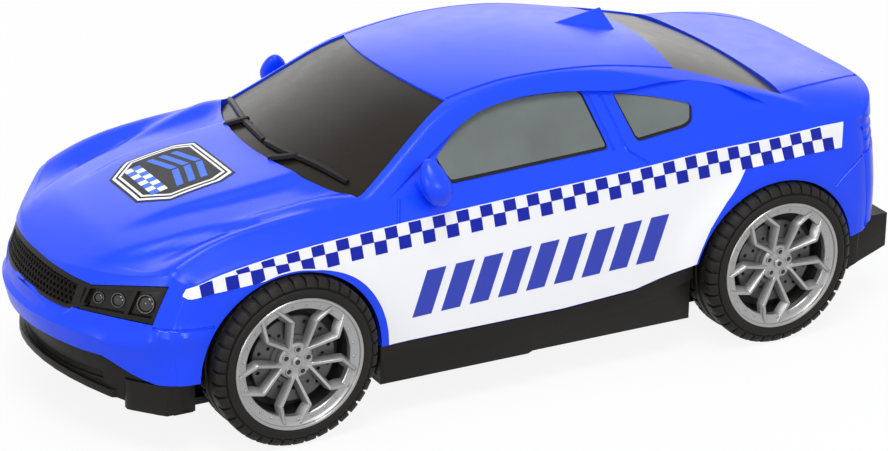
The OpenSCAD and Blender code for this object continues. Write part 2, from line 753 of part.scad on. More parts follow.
module roof_fin() {
    tip_x = fin_shares[0] * half_l;
    peak = [fin_shares[1] * half_l, 0, roof_h * fin_height_share];
    back_x = fin_shares[2] * half_l;
    side = half_w * fin_width_share;
    foot = shell_wall / 2;
    hull() {
        translate([tip_x, 0, top_z(tip_x, 0) - foot]) sphere(foot / 2, $fn = 8);
        translate(peak) sphere(foot / 3, $fn = 8);
        for (y = [-side, side])
            translate([back_x, y, top_z(back_x, y) - foot]) sphere(foot / 2, $fn = 8);
    }
}

// Rows of six-sided cells, every other row moved by half a cell
module grille_cells(width, low, high) {
    row_h = grille_pitch * sin(60);
    cell_r = (grille_pitch - grille_web) / 2;
    rows = floor((high - low - 2 * cell_r) / row_h);
    columns = floor((width - grille_pitch) / grille_pitch);
    lengthways(front_post_x + post_r + over, half_l + over)
        for (r = [0 : rows], c = [-columns : columns - r % 2])
            translate([
                (c + r % 2 / 2) * grille_pitch,
                (low + high) / 2 + (r - rows / 2) * row_h
            ])
                circle(cell_r, $fn = 6);
}
module grille() {
    width = half_w * grille_width_share;
    low = roof_h * grille_bottom_share;
    high = roof_h * grille_top_share;
    color(trim_black)
        difference() {
            loft([
                for (k = [0 : grille_columns])
                    let (y = width * (2 * k / grille_columns - 1))
                    [
                        [nose_x(y, low) - front_recess - grille_depth, y, low],
                        [nose_x(y, low) - front_recess, y, low],
                        [nose_x(y, high) - front_recess, y, high],
                        [nose_x(y, high) - front_recess - grille_depth, y, high]
                    ]
            ]);
            grille_cells(width - grille_rim, low + grille_rim, high - grille_rim);
        }
}

// A ring of the bar that stands between the second and the third lens
function lamp_bar_ring(out) = [
    for (p = [[0, 1], [0, 0], [1, 0], [1, 1]])
        lamp_point([lamp_bar_shares[p[0]], p[1] * face_top_share + (1 - p[1]) * (1 - face_top_share)])
        + lamp_facing() * out
];
module headlight() {
    facing = lamp_facing();
    height = norm(lamp_corners()[1] - lamp_corners()[0]);
    floor_out = -front_recess - lamp_pocket;
    color(trim_black) {
        difference() {
            loft([lamp_ring(-front_recess, 0), lamp_ring(-front_recess - lamp_depth, 0)]);
            loft([lamp_ring(over, -lamp_rim), lamp_ring(floor_out, -lamp_rim)]);
        }
        loft([lamp_bar_ring(-seat_gap), lamp_bar_ring(-lamp_pocket - seat_gap)]);
        for (k = [0 : len(lens_places_shares) - 1])
            translate(lamp_point(lens_places_shares[k]))
                rotate([0, acos(facing.z), atan2(facing.y, facing.x)])
                    translate([0, 0, -lamp_pocket - seat_gap])
                        cylinder(h = lamp_pocket, r = height * lens_sizes_shares[k]);
    }
}
module headlight_left() { headlight(); }
module headlight_right() { mirror([0, 1, 0]) headlight(); }

// Door mirror on a short arm that stands off the leaning side
module mirror_left() {
    x = mirror_place_shares[0] * half_l;
    z = mirror_place_shares[2] * roof_h;
    off = unit([0, 1, side_lean_share]);
    foot = [x, side_y(x, z), z];
    color(body_blue) {
        hull() {
            translate(foot + off * (mirror_arm_r + seat_gap)) sphere(mirror_arm_r, $fn = 16);
            translate(foot + off * mirror_reach) sphere(mirror_arm_r, $fn = 16);
        }
        hull() {
            translate(foot + off * mirror_reach + [0, 0, mirror_r / 4]) sphere(mirror_r, $fn = 16);
            translate(foot + off * mirror_reach + [-mirror_r / 2, mirror_r, mirror_r / 2])
                sphere(mirror_r / 2, $fn = 16);
        }
    }
}
module mirror_right() { mirror([0, 1, 0]) mirror_left(); }

// Side sticker: a checked stripe under the crease and a white door panel below it
stripe_front = stripe_low_shares[len(stripe_low_shares) - 1][0] * half_l;
stripe_tail = stripe_low_shares[0][0] * half_l;
function stripe_top(x) = crease_z(x) - stripe_drop;
function stripe_bottom(x) = min(roof_h * curve(stripe_low_shares, x / half_l), stripe_top(x) - stripe_tip_h);
function arch_line(x, gap) =
    let (r = arch_r + gap)
    max([for (middle = [front_x, rear_x]) arch_z + sqrt(max(r ^ 2 - (x - middle) ^ 2, 0))]);
function rear_line(x) =
    let (back = panel_rear_shares[0] * half_l, top = panel_rear_shares[1] * half_l)
    x > back ? 0 : sill_line(back) + (stripe_bottom(top) - sill_line(back)) * (x - back) / (top - back);
function panel_low(x) =
    x > front_x ? roof_h : max(sill_line(x) + panel_sill_gap, rear_line(x), arch_line(x, panel_arch_gap));
function sticker_low(x) =
    let (low = min(stripe_bottom(x), panel_low(x)))
    min(stripe_top(x) - stripe_tip_h, max(arch_line(x, stripe_arch_gap), low));
// Columns stand closer together where the panel's edge turns round an arch
function sticker_places() =
    let (
        r = arch_r + panel_arch_gap,
        door = front_x - r - rear_x - r,
        step = (stripe_front - stripe_tail) / sticker_columns,
        runs = [stripe_front - front_x, door, rear_x - stripe_tail],
        counts = [for (run = runs) max(1, round(run / step))]
    )
    concat(
        [for (k = [0 : counts[0] - 1]) stripe_front - runs[0] * k / counts[0]],
        [for (k = [0 : arch_columns - 1]) front_x - r * sin(90 * k / arch_columns)],
        [for (k = [0 : counts[1] - 1]) front_x - r - door * k / counts[1]],
        [for (k = [0 : arch_columns - 1]) rear_x + r * cos(90 * k / arch_columns)],
        [for (k = [0 : counts[2]]) rear_x - runs[2] * k / counts[2]]
    );
function sticker_ring(x) =
    let (
        low = sticker_low(x),
        rows = [for (r = [0 : sticker_rows]) low + (stripe_top(x) - low) * r / sticker_rows]
    )
    concat(
        [for (z = rows) [x, side_y(x, z) + sticker_gap + sticker_t, z]],
        [for (r = [sticker_rows : -1 : 0]) [x, side_y(x, rows[r]) + sticker_gap, rows[r]]]
    );
module side_sticker_left() {
    color(sticker_white) loft([for (x = sticker_places()) sticker_ring(x)]);
}
module side_sticker_right() { mirror([0, 1, 0]) side_sticker_left(); }

module hood_sticker() {
    back = patch_shares[0][0] * half_l;
    reach = patch_shares[len(patch_shares) - 1][0] * half_l - back;
    color(sticker_white)
        loft([
            for (k = [0 : patch_columns])
                let (
                    x = back + reach * k / patch_columns,
                    w = half_w * lookup(x / half_l, patch_shares),
                    places = [for (s = [-1 : 0.25 : 1]) s * w]
                )
                concat(
                    [for (y = places) [x, -y, top_z(x, y) + sticker_gap]],
                    [for (y = places) [x, y, top_z(x, y) + sticker_gap + sticker_t]]
                )
        ]);
}

// Chassis outline in plan, drawn in by a distance
module chassis_plan(set) {
    width = chassis_half_w - set;
    polygon(concat(
        [for (k = [-1 : 0.125 : 1]) [nose_x(k * width, sill_h) - valance_set - set, k * width]],
        [for (k = [1 : -0.125 : -1]) [tail_x(k * width, sill_h) + valance_set + set, k * width]]
    ));
}
module wheel_notches() {
    for (x = [front_x, rear_x], side = [0, 1])
        mirror([0, side])
            translate([x - arch_r, bearing_outer]) square([2 * arch_r, half_w]);
}
module chassis_walls() {
    difference() {
        chassis_plan(0);
        chassis_plan(chassis_wall);
        wheel_notches();
    }
}
// Where the two motor screws stand
function motor_lugs() = [
    [motor_front + lug_l / 2, (motor_split + motor_left) / 2],
    [motor_back - lug_l / 2, (motor_split + motor_right) / 2]
];
cover_y = half_w * cover_screw_share;
cover_x = front_x + axle_r + spin_gap + post_r;

module bearing_plate(x) {
    across(bearing_outer - bearing_t, bearing_outer)
        difference() {
            translate([x - bearing_half_l, ground_gap])
                square([2 * bearing_half_l, axle_z + bearing_rise - ground_gap]);
            translate([x, axle_z]) circle(axle_r + run_gap);
            translate([x - axle_r - run_gap, axle_z]) square([axle_d + 2 * run_gap, bearing_rise + over]);
        }
}

// The floor's underside in the side view: level between the arches, rising to both ends
ramp_front = front_x + arch_r;
ramp_rear = rear_x - arch_r;
floor_places = [
    [-half_l, ground_gap + tail_rise], [ramp_rear, ground_gap], [ramp_front, ground_gap],
    [half_l, ground_gap + nose_rise]
];
chassis_low = ground_gap - over;
// All that lies under a line of the side view, through the car's whole width
module under(line) {
    last = len(line) - 1;
    across(-half_w - over, half_w + over) polygon(concat(line, [[line[last][0], 0], [line[0][0], 0]]));
}
module front_zone(width) {
    translate([ramp_front, -width]) square([half_l, 2 * width]);
}
module chassis_floor() {
    intersection() {
        under([for (p = floor_places) p + [0, floor_t]]);
        translate([0, 0, chassis_low])
            linear_extrude(sill_h)
                difference() {
                    union() {
                        chassis_plan(0);
                        intersection() {
                            chassis_plan(-splitter_out);
                            front_zone(half_w * intake_width_share);
                        }
                    }
                    wheel_notches();
                    translate([motor_back, motor_right] - seat_gap * [1, 1])
                        square([motor_front - motor_back, motor_left - motor_right] + seat_gap * [2, 2]);
                }
    }
}
// All that lies under the edge of the front bumper, as the front view shows it
module under_intake() {
    half = [for (p = intake_shares) [p[0] * half_w, p[1] * sill_h - 3 * seat_gap]];
    last = len(half) - 1;
    lengthways(ramp_front, half_l)
        polygon(concat(
            [for (k = [last : -1 : 1]) [-half[k][0], half[k][1]]], half, [[half_w, 0], [-half_w, 0]]
        ));
}
// The walls end just under the body's edge, and higher behind the front bumper's intake
module chassis_sides() {
    intersection() {
        under([for (p = sill_shares) [p[0] * half_l, p[1] * sill_h - 2 * seat_gap]]);
        translate([0, 0, chassis_low]) linear_extrude(roof_h) chassis_walls();
    }
    intersection() {
        under_intake();
        translate([0, 0, chassis_low]) linear_extrude(roof_h) chassis_walls();
    }
}
// Thicker wall behind the step in a skirt's outer face
module skirt_backing() {
    back = rear_x + arch_r + seat_gap;
    intersection() {
        under([for (p = sill_shares) [p[0] * half_l, p[1] * sill_h - 3 * seat_gap]]);
        translate([back, chassis_half_w - chassis_wall - skirt_step, chassis_low])
            cube([front_x - arch_r - seat_gap - back, chassis_wall / 2 + skirt_step, roof_h]);
    }
}
module skirt_recess() {
    steps = side_points(skirt_step_shares, sill_h);
    last = len(steps) - 1;
    across(chassis_half_w - skirt_step, half_w + over)
        polygon(concat(steps, [[steps[last][0], 0], [steps[0][0], 0]]));
}
module rear_bar() {
    width = half_w * bar_width_share;
    translate([0, 0, chassis_low])
        linear_extrude(ground_gap + tail_rise + bar_h - chassis_low)
            difference() {
                translate([bar_set - half_l, -width]) square([half_l - bar_set + ramp_rear, 2 * width]);
                chassis_plan(chassis_wall);
            }
}
module corner_cut() {
    low = ground_gap + corner_rise;
    reach = half_l + over + ramp_rear;
    across(half_w * bar_width_share + seat_gap, half_w + over)
        polygon([
            [ramp_rear + over, low - corner_slope_share * over],
            [ramp_rear - reach, low + corner_slope_share * reach],
            [ramp_rear - reach, 0],
            [ramp_rear + over, 0]
        ]);
}
module valance_slot() {
    translate([0, 0, ground_gap + slot_rise])
        linear_extrude(slot_h)
            difference() {
                front_zone(half_w * slot_width_share);
                chassis_plan(slot_depth);
            }
}
module foot_block() {
    translate([0, 0, ground_gap + foot_rise])
        linear_extrude(sill_h - 4 * seat_gap - ground_gap - foot_rise)
            intersection() {
                chassis_plan(-splitter_out);
                translate([ramp_front + seat_gap, half_w * foot_shares[0]])
                    square([foot_l, half_w * (foot_shares[1] - foot_shares[0])]);
            }
}

module chassis_base() {
    color(trim_black)
        difference() {
            union() {
                difference() {
                    union() {
                        chassis_floor();
                        chassis_sides();
                        rear_bar();
                        both_sides() skirt_backing();
                    }
                    under(floor_places);
                    valance_slot();
                    both_sides() {
                        skirt_recess();
                        corner_cut();
                    }
                }
                both_sides() {
                    foot_block();
                    for (x = [front_x, rear_x]) bearing_plate(x);
                }
                for (p = post_places())
                    translate([p.x, p.y, ground_gap]) cylinder(h = boss_h, r = post_r + chassis_wall / 2);
                for (side = [-1, 1])
                    translate([cover_x, side * cover_y, ground_gap])
                        cylinder(h = axle_z + bearing_rise - ground_gap, r = post_r);
            }
            for (p = post_places())
                translate([p.x, p.y, ground_gap - over]) {
                    cylinder(h = boss_h + 2 * over, r = screw_d / 2 + seat_gap);
                    cylinder(h = boss_h + over - chassis_wall, r = screw_head_r + head_gap);
                }
            for (side = [-1, 1])
                translate([cover_x, side * cover_y, axle_z])
                    cylinder(h = bearing_rise + over, r = motor_screw_d / 2 + run_gap);
            for (p = motor_lugs())
                translate([p.x, p.y, ground_gap - over])
                    cylinder(h = floor_t + 2 * over, r = motor_screw_d / 2 + run_gap);
        }
}

// A pan-head screw that points down from under its head
module screw(shank_r, shank_l, head_r, head_h) {
    cylinder(h = head_h, r = head_r);
    translate([0, 0, -shank_l]) cylinder(h = shank_l, r = shank_r);
}
module body_screws() {
    color(steel)
        for (p = post_places())
            translate([p.x, p.y, ground_gap + boss_h - chassis_wall])
                mirror([0, 0, 1])
                    screw(screw_d / 2, chassis_wall + screw_reach - over, screw_head_r, screw_head_h);
}
module cover_screws() {
    color(steel)
        for (side = [-1, 1])
            translate([cover_x, side * cover_y, axle_z + bearing_rise + cover_t])
                screw(motor_screw_d / 2, cover_t + bearing_rise / 2, motor_screw_d, screw_head_h);
}
module motor_screws() {
    color(steel)
        for (p = motor_lugs())
            translate([p.x, p.y, floor_top + lug_t])
                screw(motor_screw_d / 2, lug_t + floor_t, motor_screw_d, screw_head_h);
}

module front_axle_cover() {
    plate_z = axle_z + bearing_rise;
    tongue = axle_r + run_gap - seat_gap;
    color(trim_black)
        difference() {
            union() {
                translate([front_x - bearing_half_l, -bearing_outer, plate_z])
                    cube([bearing_half_l + cover_x + post_r - front_x, 2 * bearing_outer, cover_t]);
                both_sides()
                    translate([front_x - tongue, bearing_outer - bearing_t, axle_z + axle_r + run_gap])
                        cube([2 * tongue, bearing_t, bearing_rise - axle_r - run_gap]);
            }
            for (side = [-1, 1])
                translate([cover_x, side * cover_y, plate_z - over])
                    cylinder(h = cover_t + 2 * over, r = motor_screw_d / 2 + run_gap);
        }
}

// Wheels are drawn with the outer face at zero and the axle along Z, pointing outwards
module wheel_place(x, side) {
    translate([x, side * wheel_face, axle_z]) rotate([-side * 90, 0, 0]) children();
}
module axle(x) {
    color(steel)
        translate([x, 0, axle_z])
            rotate([90, 0, 0]) cylinder(h = 2 * axle_half, r = axle_r, center = true);
}
module front_axle() { axle(front_x); }
module rear_axle() { axle(rear_x); }

module tyre() {
    rim_r = rim_d / 2;
    thick = tyre_d / 2 - rim_r;
    notch_l = tyre_w * tread_notch_share;
    color(trim_black)
        difference() {
            rotate_extrude() polygon([for (p = tyre_shares) [rim_r + p[0] * thick, -p[1] * tyre_w]]);
            for (k = [0 : tread_count - 1], end = [0, 1])
                rotate(k * 360 / tread_count)
                    translate([
                        tyre_d / 2 - tread_notch_depth, -tread_notch_w / 2,
                        end == 0 ? -notch_l : -tyre_w - over
                    ])
                        cube([tread_notch_depth + over, tread_notch_w, notch_l + over]);
        }
}
module rim() {
    rim_r = rim_d / 2;
    seat_r = rim_r * rim_seat_share;
    lip_r = rim_r * rim_lip_share;
    face = -spoke_recess;
    sleeve_end = -tyre_w - hub_gap;
    color(rim_silver)
        difference() {
            union() {
                rotate_extrude()
                    polygon([
                        [seat_r, -tyre_w], [rim_r, -tyre_w], [rim_r, 0], [lip_r, 0], [lip_r, -lip_step],
                        [seat_r, -lip_step]
                    ]);
                for (k = [0 : spoke_count - 1])
                    rotate(90 - spoke_turn + k * 360 / spoke_count)
                        translate([0, 0, face - spoke_t + hub_step])
                            linear_extrude(spoke_t - 2 * hub_step)
                                polygon([for (p = spoke_shares) rim_r * p]);
                translate([0, 0, face - spoke_t]) cylinder(h = spoke_t, r = rim_r * hub_share);
                translate([0, 0, face]) cylinder(h = cap_rise, r = rim_r * cap_share);
                for (k = [0 : spoke_count - 1])
                    rotate(90 - spoke_turn + (k + 0.5) * 360 / spoke_count)
                        translate([rim_r * lug_ring_share, 0, face])
                            cylinder(h = cap_rise, r = rim_r * lug_r_share);
                for (k = [0 : rivet_count - 1])
                    rotate(k * 360 / rivet_count)
                        translate([(seat_r + lip_r) / 2, 0, -lip_step])
                            cylinder(h = rivet_h, r = rim_r * rivet_r_share);
                translate([0, 0, sleeve_end]) cylinder(h = face - sleeve_end, r = axle_r + sleeve_wall);
            }
            translate([0, 0, sleeve_end - over]) cylinder(h = over - sleeve_end + face - spoke_t, r = axle_r);
        }
}
module brake_disc() {
    rim_r = rim_d / 2;
    back = -tyre_w * disc_depth_share;
    sleeve_r = axle_r + sleeve_wall;
    color(steel)
        difference() {
            union() {
                translate([0, 0, back - plate_t]) cylinder(h = plate_t, r = rim_r * rim_seat_share);
                translate([0, 0, back]) cylinder(h = disc_t, r = rim_r * disc_share);
            }
            translate([0, 0, back - plate_t - over]) cylinder(h = plate_t + disc_t + 2 * over, r = sleeve_r);
            for (k = [0 : disc_hole_count - 1], ring = disc_ring_shares)
                rotate(k * 360 / disc_hole_count)
                    translate([rim_r * ring, 0, back])
                        cylinder(h = disc_t + over, r = rim_r * disc_hole_share);
        }
}
module front_left_tyre() { wheel_place(front_x, 1) tyre(); }
module front_left_rim() { wheel_place(front_x, 1) rim(); }
module front_left_brake_disc() { wheel_place(front_x, 1) brake_disc(); }
module front_right_tyre() { wheel_place(front_x, -1) tyre(); }
module front_right_rim() { wheel_place(front_x, -1) rim(); }
module front_right_brake_disc() { wheel_place(front_x, -1) brake_disc(); }
module rear_left_tyre() { wheel_place(rear_x, 1) tyre(); }
module rear_left_rim() { wheel_place(rear_x, 1) rim(); }
module rear_left_brake_disc() { wheel_place(rear_x, 1) brake_disc(); }
module rear_right_tyre() { wheel_place(rear_x, -1) tyre(); }
module rear_right_rim() { wheel_place(rear_x, -1) rim(); }
module rear_right_brake_disc() { wheel_place(rear_x, -1) brake_disc(); }

// Involute gear outline with a tooth on the drawing's X axis
function polar(r, angle) = [r * cos(angle), r * sin(angle)];
function involute(r, base) = let (a = acos(min(1, base / r))) tan(a) * 180 / PI - a;
function gear_points(teeth) =
    let (
        pitch = gear_module * teeth / 2,
        base = pitch * cos(pressure_angle),
        root = pitch - gear_module * tooth_dedendum,
        low = max(root, base),
        high = pitch + tip,
        half_pitch = (PI * gear_module / 2 - backlash / 2) / 2 / pitch * 180 / PI + involute(pitch, base),
        radii = [for (k = [0 : flank_steps]) low + (high - low) * k / flank_steps],
        tooth = concat(
            [[root, -half_pitch + involute(low, base)]],
            [for (r = radii) [r, -half_pitch + involute(r, base)]],
            [for (k = [flank_steps : -1 : 0]) [radii[k], half_pitch - involute(radii[k], base)]],
            [[root, half_pitch - involute(low, base)]]
        ),
        points = root < low ? tooth : [for (k = [1 : len(tooth) - 2]) tooth[k]]
    )
    [for (t = [0 : teeth - 1], p = points) polar(p[0], p[1] + t * 360 / teeth)];
module gear(teeth, turn) { rotate(turn) polygon(gear_points(teeth)); }
module at_shaft(x, z) { translate([x, z]) children(); }

module axle_gear() {
    color(gear_white)
        across(first_plane, first_plane + gear_w)
            at_shaft(rear_x, axle_z)
                difference() {
                    gear(axle_teeth, idler_lean);
                    circle(axle_r);
                }
}
module idler_gear() {
    bore = shaft_r + run_gap;
    color(gear_white)
        difference() {
            union() {
                across(first_plane, second_plane)
                    at_shaft(idler_x, idler_z) gear(pinion_teeth, idler_lean + 180 + 180 / pinion_teeth);
                across(second_plane, second_plane + gear_w)
                    at_shaft(idler_x, idler_z) gear(idler_teeth, flywheel_lean);
                across(motor_right + motor_wall + spin_gap / 2, first_plane)
                    at_shaft(idler_x, idler_z) circle(bore + idler_sleeve_wall);
            }
            across(motor_right, motor_left) at_shaft(idler_x, idler_z) circle(bore);
        }
}
module idler_shaft() {
    color(steel)
        across(motor_right + motor_wall / 2, motor_left - motor_wall / 2)
            at_shaft(idler_x, idler_z) circle(shaft_r);
}
module flywheel() {
    color(steel)
        difference() {
            union() {
                across(flywheel_plane, flywheel_plane + flywheel_w)
                    at_shaft(flywheel_x, flywheel_z) circle(flywheel_d / 2);
                across(flywheel_plane, second_plane)
                    at_shaft(flywheel_x, flywheel_z) circle(shaft_r + gear_bore_wall);
                across(second_plane, second_plane + gear_w)
                    at_shaft(flywheel_x, flywheel_z)
                        gear(pinion_teeth, flywheel_lean + 180 + 180 / pinion_teeth);
            }
            across(motor_right, motor_left) at_shaft(flywheel_x, flywheel_z) circle(shaft_r);
            across(flywheel_plane - over, flywheel_plane + flywheel_w * flywheel_dish_share)
                at_shaft(flywheel_x, flywheel_z)
                    difference() {
                        circle(flywheel_d / 2 * flywheel_rim_share);
                        circle(shaft_r + gear_bore_wall);
                    }
        }
}
module flywheel_shaft() {
    color(steel)
        across(motor_right + motor_wall / 2 + run_gap, motor_left - motor_wall / 2 - run_gap)
            at_shaft(flywheel_x, flywheel_z) circle(shaft_r);
}

// Motor housing: two cups that meet at the split plane, each with a screw lug on the chassis floor
module motor_outline(inset) {
    back = motor_back + inset;
    front = motor_front - inset;
    low = motor_bottom + inset;
    high = motor_top - inset;
    polygon([
        [back, low], [front, low], [front, high - motor_corner], [front - motor_corner, high],
        [back + motor_corner, high], [back, high - motor_corner]
    ]);
}
module motor_bores(from_y, to_y) {
    across(from_y, to_y) {
        at_shaft(idler_x, idler_z) circle(shaft_r);
        at_shaft(flywheel_x, flywheel_z) circle(shaft_r + run_gap);
    }
    across(motor_right - over, motor_left + over) at_shaft(rear_x, axle_z) circle(axle_r + run_gap);
}
module motor_lug(x, from_y, to_y, place) {
    difference() {
        translate([x, from_y, floor_top]) cube([lug_l, to_y - from_y, lug_t]);
        translate([place.x, place.y, floor_top - over])
            cylinder(h = lug_t + 2 * over, r = motor_screw_d / 2 + run_gap);
    }
}
module motor_housing_left() {
    color(gear_white) {
        difference() {
            across(motor_split, motor_left) motor_outline(0);
            across(motor_split - over, motor_left - motor_wall) motor_outline(motor_wall);
            motor_bores(motor_split, motor_left - motor_wall / 2);
        }
        motor_lug(motor_front, motor_split, motor_left, motor_lugs()[0]);
    }
}
module motor_housing_right() {
    color(gear_white) {
        difference() {
            across(motor_right, motor_split) motor_outline(0);
            across(motor_right + motor_wall, motor_split + over) motor_outline(motor_wall);
            motor_bores(motor_right + motor_wall / 2, motor_split);
        }
        motor_lug(motor_back - lug_l, motor_right, motor_split, motor_lugs()[1]);
    }
}

body_shell();
windscreen();
rear_window();
door_window_left();
door_window_right();
quarter_window_left();
quarter_window_right();
wipers();
grille();
headlight_left();
headlight_right();
mirror_left();
mirror_right();
side_sticker_left();
side_sticker_right();
hood_sticker();
chassis_base();
body_screws();
front_axle_cover();
cover_screws();
front_axle();
rear_axle();
front_left_tyre();
front_left_rim();
front_left_brake_disc();
front_right_tyre();
front_right_rim();
front_right_brake_disc();
rear_left_tyre();
rear_left_rim();
rear_left_brake_disc();
rear_right_tyre();
rear_right_rim();
rear_right_brake_disc();
motor_housing_left();
motor_housing_right();
motor_screws();
axle_gear();
idler_gear();
idler_shaft();
flywheel();
flywheel_shaft();
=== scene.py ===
# %% [markdown]
# # Toy police car
# This lesson dresses a measured model of a friction-drive toy car: a blue moulded body over a black base,
# smoked windows, stickers and four silver wheels. The measured model has the sizes and the joints; each
# piece made here takes the place of a measured one and adds the looks. Lengths are written in millimetres,
# as on the drawing, and turned into metres when a mesh is made.

# %% Load the measured model
import json
import math

import bmesh
import bpy
import numpy as np
from mathutils import Matrix, Vector
from mathutils.bvhtree import BVHTree

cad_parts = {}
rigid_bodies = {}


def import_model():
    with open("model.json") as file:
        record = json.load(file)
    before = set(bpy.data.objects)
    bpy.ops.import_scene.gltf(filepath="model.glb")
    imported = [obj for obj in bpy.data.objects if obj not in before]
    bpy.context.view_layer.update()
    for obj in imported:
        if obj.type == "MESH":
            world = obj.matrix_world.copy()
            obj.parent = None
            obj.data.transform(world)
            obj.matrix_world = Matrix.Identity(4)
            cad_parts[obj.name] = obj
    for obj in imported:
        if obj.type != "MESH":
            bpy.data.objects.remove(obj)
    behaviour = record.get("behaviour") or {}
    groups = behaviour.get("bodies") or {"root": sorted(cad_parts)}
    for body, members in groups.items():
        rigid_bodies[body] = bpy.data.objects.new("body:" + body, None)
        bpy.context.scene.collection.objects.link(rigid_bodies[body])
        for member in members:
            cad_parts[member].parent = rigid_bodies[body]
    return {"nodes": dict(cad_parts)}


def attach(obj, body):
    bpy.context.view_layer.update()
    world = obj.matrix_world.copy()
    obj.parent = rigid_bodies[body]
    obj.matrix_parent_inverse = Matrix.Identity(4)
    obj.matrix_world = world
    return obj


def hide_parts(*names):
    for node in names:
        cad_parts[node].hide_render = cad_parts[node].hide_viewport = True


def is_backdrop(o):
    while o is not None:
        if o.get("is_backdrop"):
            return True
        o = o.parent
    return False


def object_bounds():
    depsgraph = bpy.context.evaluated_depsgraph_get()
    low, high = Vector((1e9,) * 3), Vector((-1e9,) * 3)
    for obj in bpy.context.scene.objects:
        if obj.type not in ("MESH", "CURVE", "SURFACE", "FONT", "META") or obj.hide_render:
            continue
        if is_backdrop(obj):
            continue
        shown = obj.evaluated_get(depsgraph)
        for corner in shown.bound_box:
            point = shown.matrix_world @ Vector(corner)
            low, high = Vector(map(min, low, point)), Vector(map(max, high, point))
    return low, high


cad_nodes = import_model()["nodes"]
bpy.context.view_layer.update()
scene = bpy.context.scene
MM = 0.001

# %% [markdown]
# ## Tools for making meshes
# Three ways of making a mesh come back again and again. A *grid* is a sheet of points in rows and columns,
# good for panels. A *tube* pushes a small outline along a path, good for seams and wiper blades. A *lathe*
# spins a profile, good for tyres. All of them end in the same call, which turns lists of points and faces
# into an object.


# %% Objects and modifiers
def add_mesh(name, points, faces, *materials):
    """An object from points in millimetres and faces given as lists of point numbers."""
    mesh = bpy.data.meshes.new(name)
    mesh.from_pydata((np.asarray(points, float) * MM).tolist(), [], [list(map(int, f)) for f in faces])
    for material in materials:
        mesh.materials.append(material)
    obj = bpy.data.objects.new(name, mesh)
    scene.collection.objects.link(obj)
    return obj


def outward(obj):
    """Turns all faces to look out of a closed mesh."""
    bm = bmesh.new()
    bm.from_mesh(obj.data)
    bmesh.ops.recalc_face_normals(bm, faces=bm.faces)
    if bm.calc_volume(signed=True) < 0:
        bmesh.ops.reverse_faces(bm, faces=bm.faces)
    bm.to_mesh(obj.data)
    bm.free()
    return obj


def soften(obj, angle):
    """Smooth shading that keeps edges sharper than the angle, in degrees."""
    obj.data.shade_smooth()
    obj.data.set_sharp_from_angle(angle=math.radians(angle))
    return obj


def settle(obj):
    """Works the object's modifiers into its mesh."""
    graph = bpy.context.evaluated_depsgraph_get()
    mesh = bpy.data.meshes.new_from_object(obj.evaluated_get(graph), depsgraph=graph)
    obj.modifiers.clear()
    old = obj.data
    obj.data = mesh
    mesh.name = obj.name
    bpy.data.meshes.remove(old)
    return obj


def remove(*objs):
    for obj in objs:
        bpy.data.objects.remove(obj, do_unlink=True)


def carve(target, *cutters, operation="DIFFERENCE"):
    """Cuts closed meshes out of a closed mesh, or adds them to it."""
    for cutter in cutters:
        step = target.modifiers.new(cutter.name, "BOOLEAN")
        step.operation = operation
        step.solver = "MANIFOLD"
        step.object = cutter
        settle(target)
    remove(*cutters)
    return target


def round_edges(obj, width, segments=2, angle=35):
    step = obj.modifiers.new("Edges", "BEVEL")
    step.width = width * MM
    step.segments = segments
    step.limit_method = "ANGLE"
    step.angle_limit = math.radians(angle)
    return settle(obj)


print("object helpers ready")


# %% Sheets, prisms, tubes and lathes
def grid_faces(rows, columns, wrap=False):
    """Faces of a sheet of points, row by row; wrap closes each row into a ring."""
    faces = []
    for r in range(rows - 1):
        for c in range(columns if wrap else columns - 1):
            a, b = r * columns + c, r * columns + (c + 1) % columns
            faces.append((a, b, b + columns, a + columns))
    return faces


def slab(name, front, back, *materials):
    """A closed sheet between two grids of points of the same shape, (rows, columns, 3)."""
    rows, columns = front.shape[:2]
    count = rows * columns
    number = np.arange(count).reshape(rows, columns)
    rim = list(number[0]) + list(number[1:, -1]) + list(number[-1, -2::-1]) + list(number[-2:0:-1, 0])
    faces = grid_faces(rows, columns)
    faces += [tuple(count + i for i in reversed(f)) for f in faces]
    faces += [(b, a, a + count, b + count) for a, b in zip(rim, rim[1:] + rim[:1])]
    points = np.concatenate([front.reshape(-1, 3), back.reshape(-1, 3)])
    return outward(add_mesh(name, points, faces, *materials))


def prism(name, outline, low, high, axis, *materials):
    """A closed outline pushed along an axis: 0 from the front view, 1 from the side view, 2 from the plan."""
    outline = np.asarray(outline, float)
    n = len(outline)
    points = np.concatenate([np.insert(outline, axis, level, axis=1) for level in (low, high)])
    faces = [tuple(range(n)), tuple(range(2 * n - 1, n - 1, -1))]
    faces += [(k, (k + 1) % n, (k + 1) % n + n, k + n) for k in range(n)]
    return outward(add_mesh(name, points, faces, *materials))


ASIDE = np.array([0.31, 0.19, 0.93])  # a way that no tube follows


def tube(name, path, radius, *materials, sides=6):
    """A tube along a path of points; the radius may change along it."""
    path = np.asarray(path, float)
    radius = np.broadcast_to(np.asarray(radius, float), len(path))
    along = np.gradient(path, axis=0)
    along /= np.linalg.norm(along, axis=1)[:, None]
    across = np.cross(along, ASIDE)
    across /= np.linalg.norm(across, axis=1)[:, None]
    up = np.cross(across, along)
    turn = np.arange(sides) * 2 * math.pi / sides
    ring = np.cos(turn)[None, :, None] * across[:, None] + np.sin(turn)[None, :, None] * up[:, None]
    points = path[:, None] + ring * radius[:, None, None]
    faces = grid_faces(len(path), sides, wrap=True)
    last = (len(path) - 1) * sides
    faces += [tuple(range(sides)), tuple(range(last + sides - 1, last - 1, -1))]
    return outward(add_mesh(name, points.reshape(-1, 3), faces, *materials))


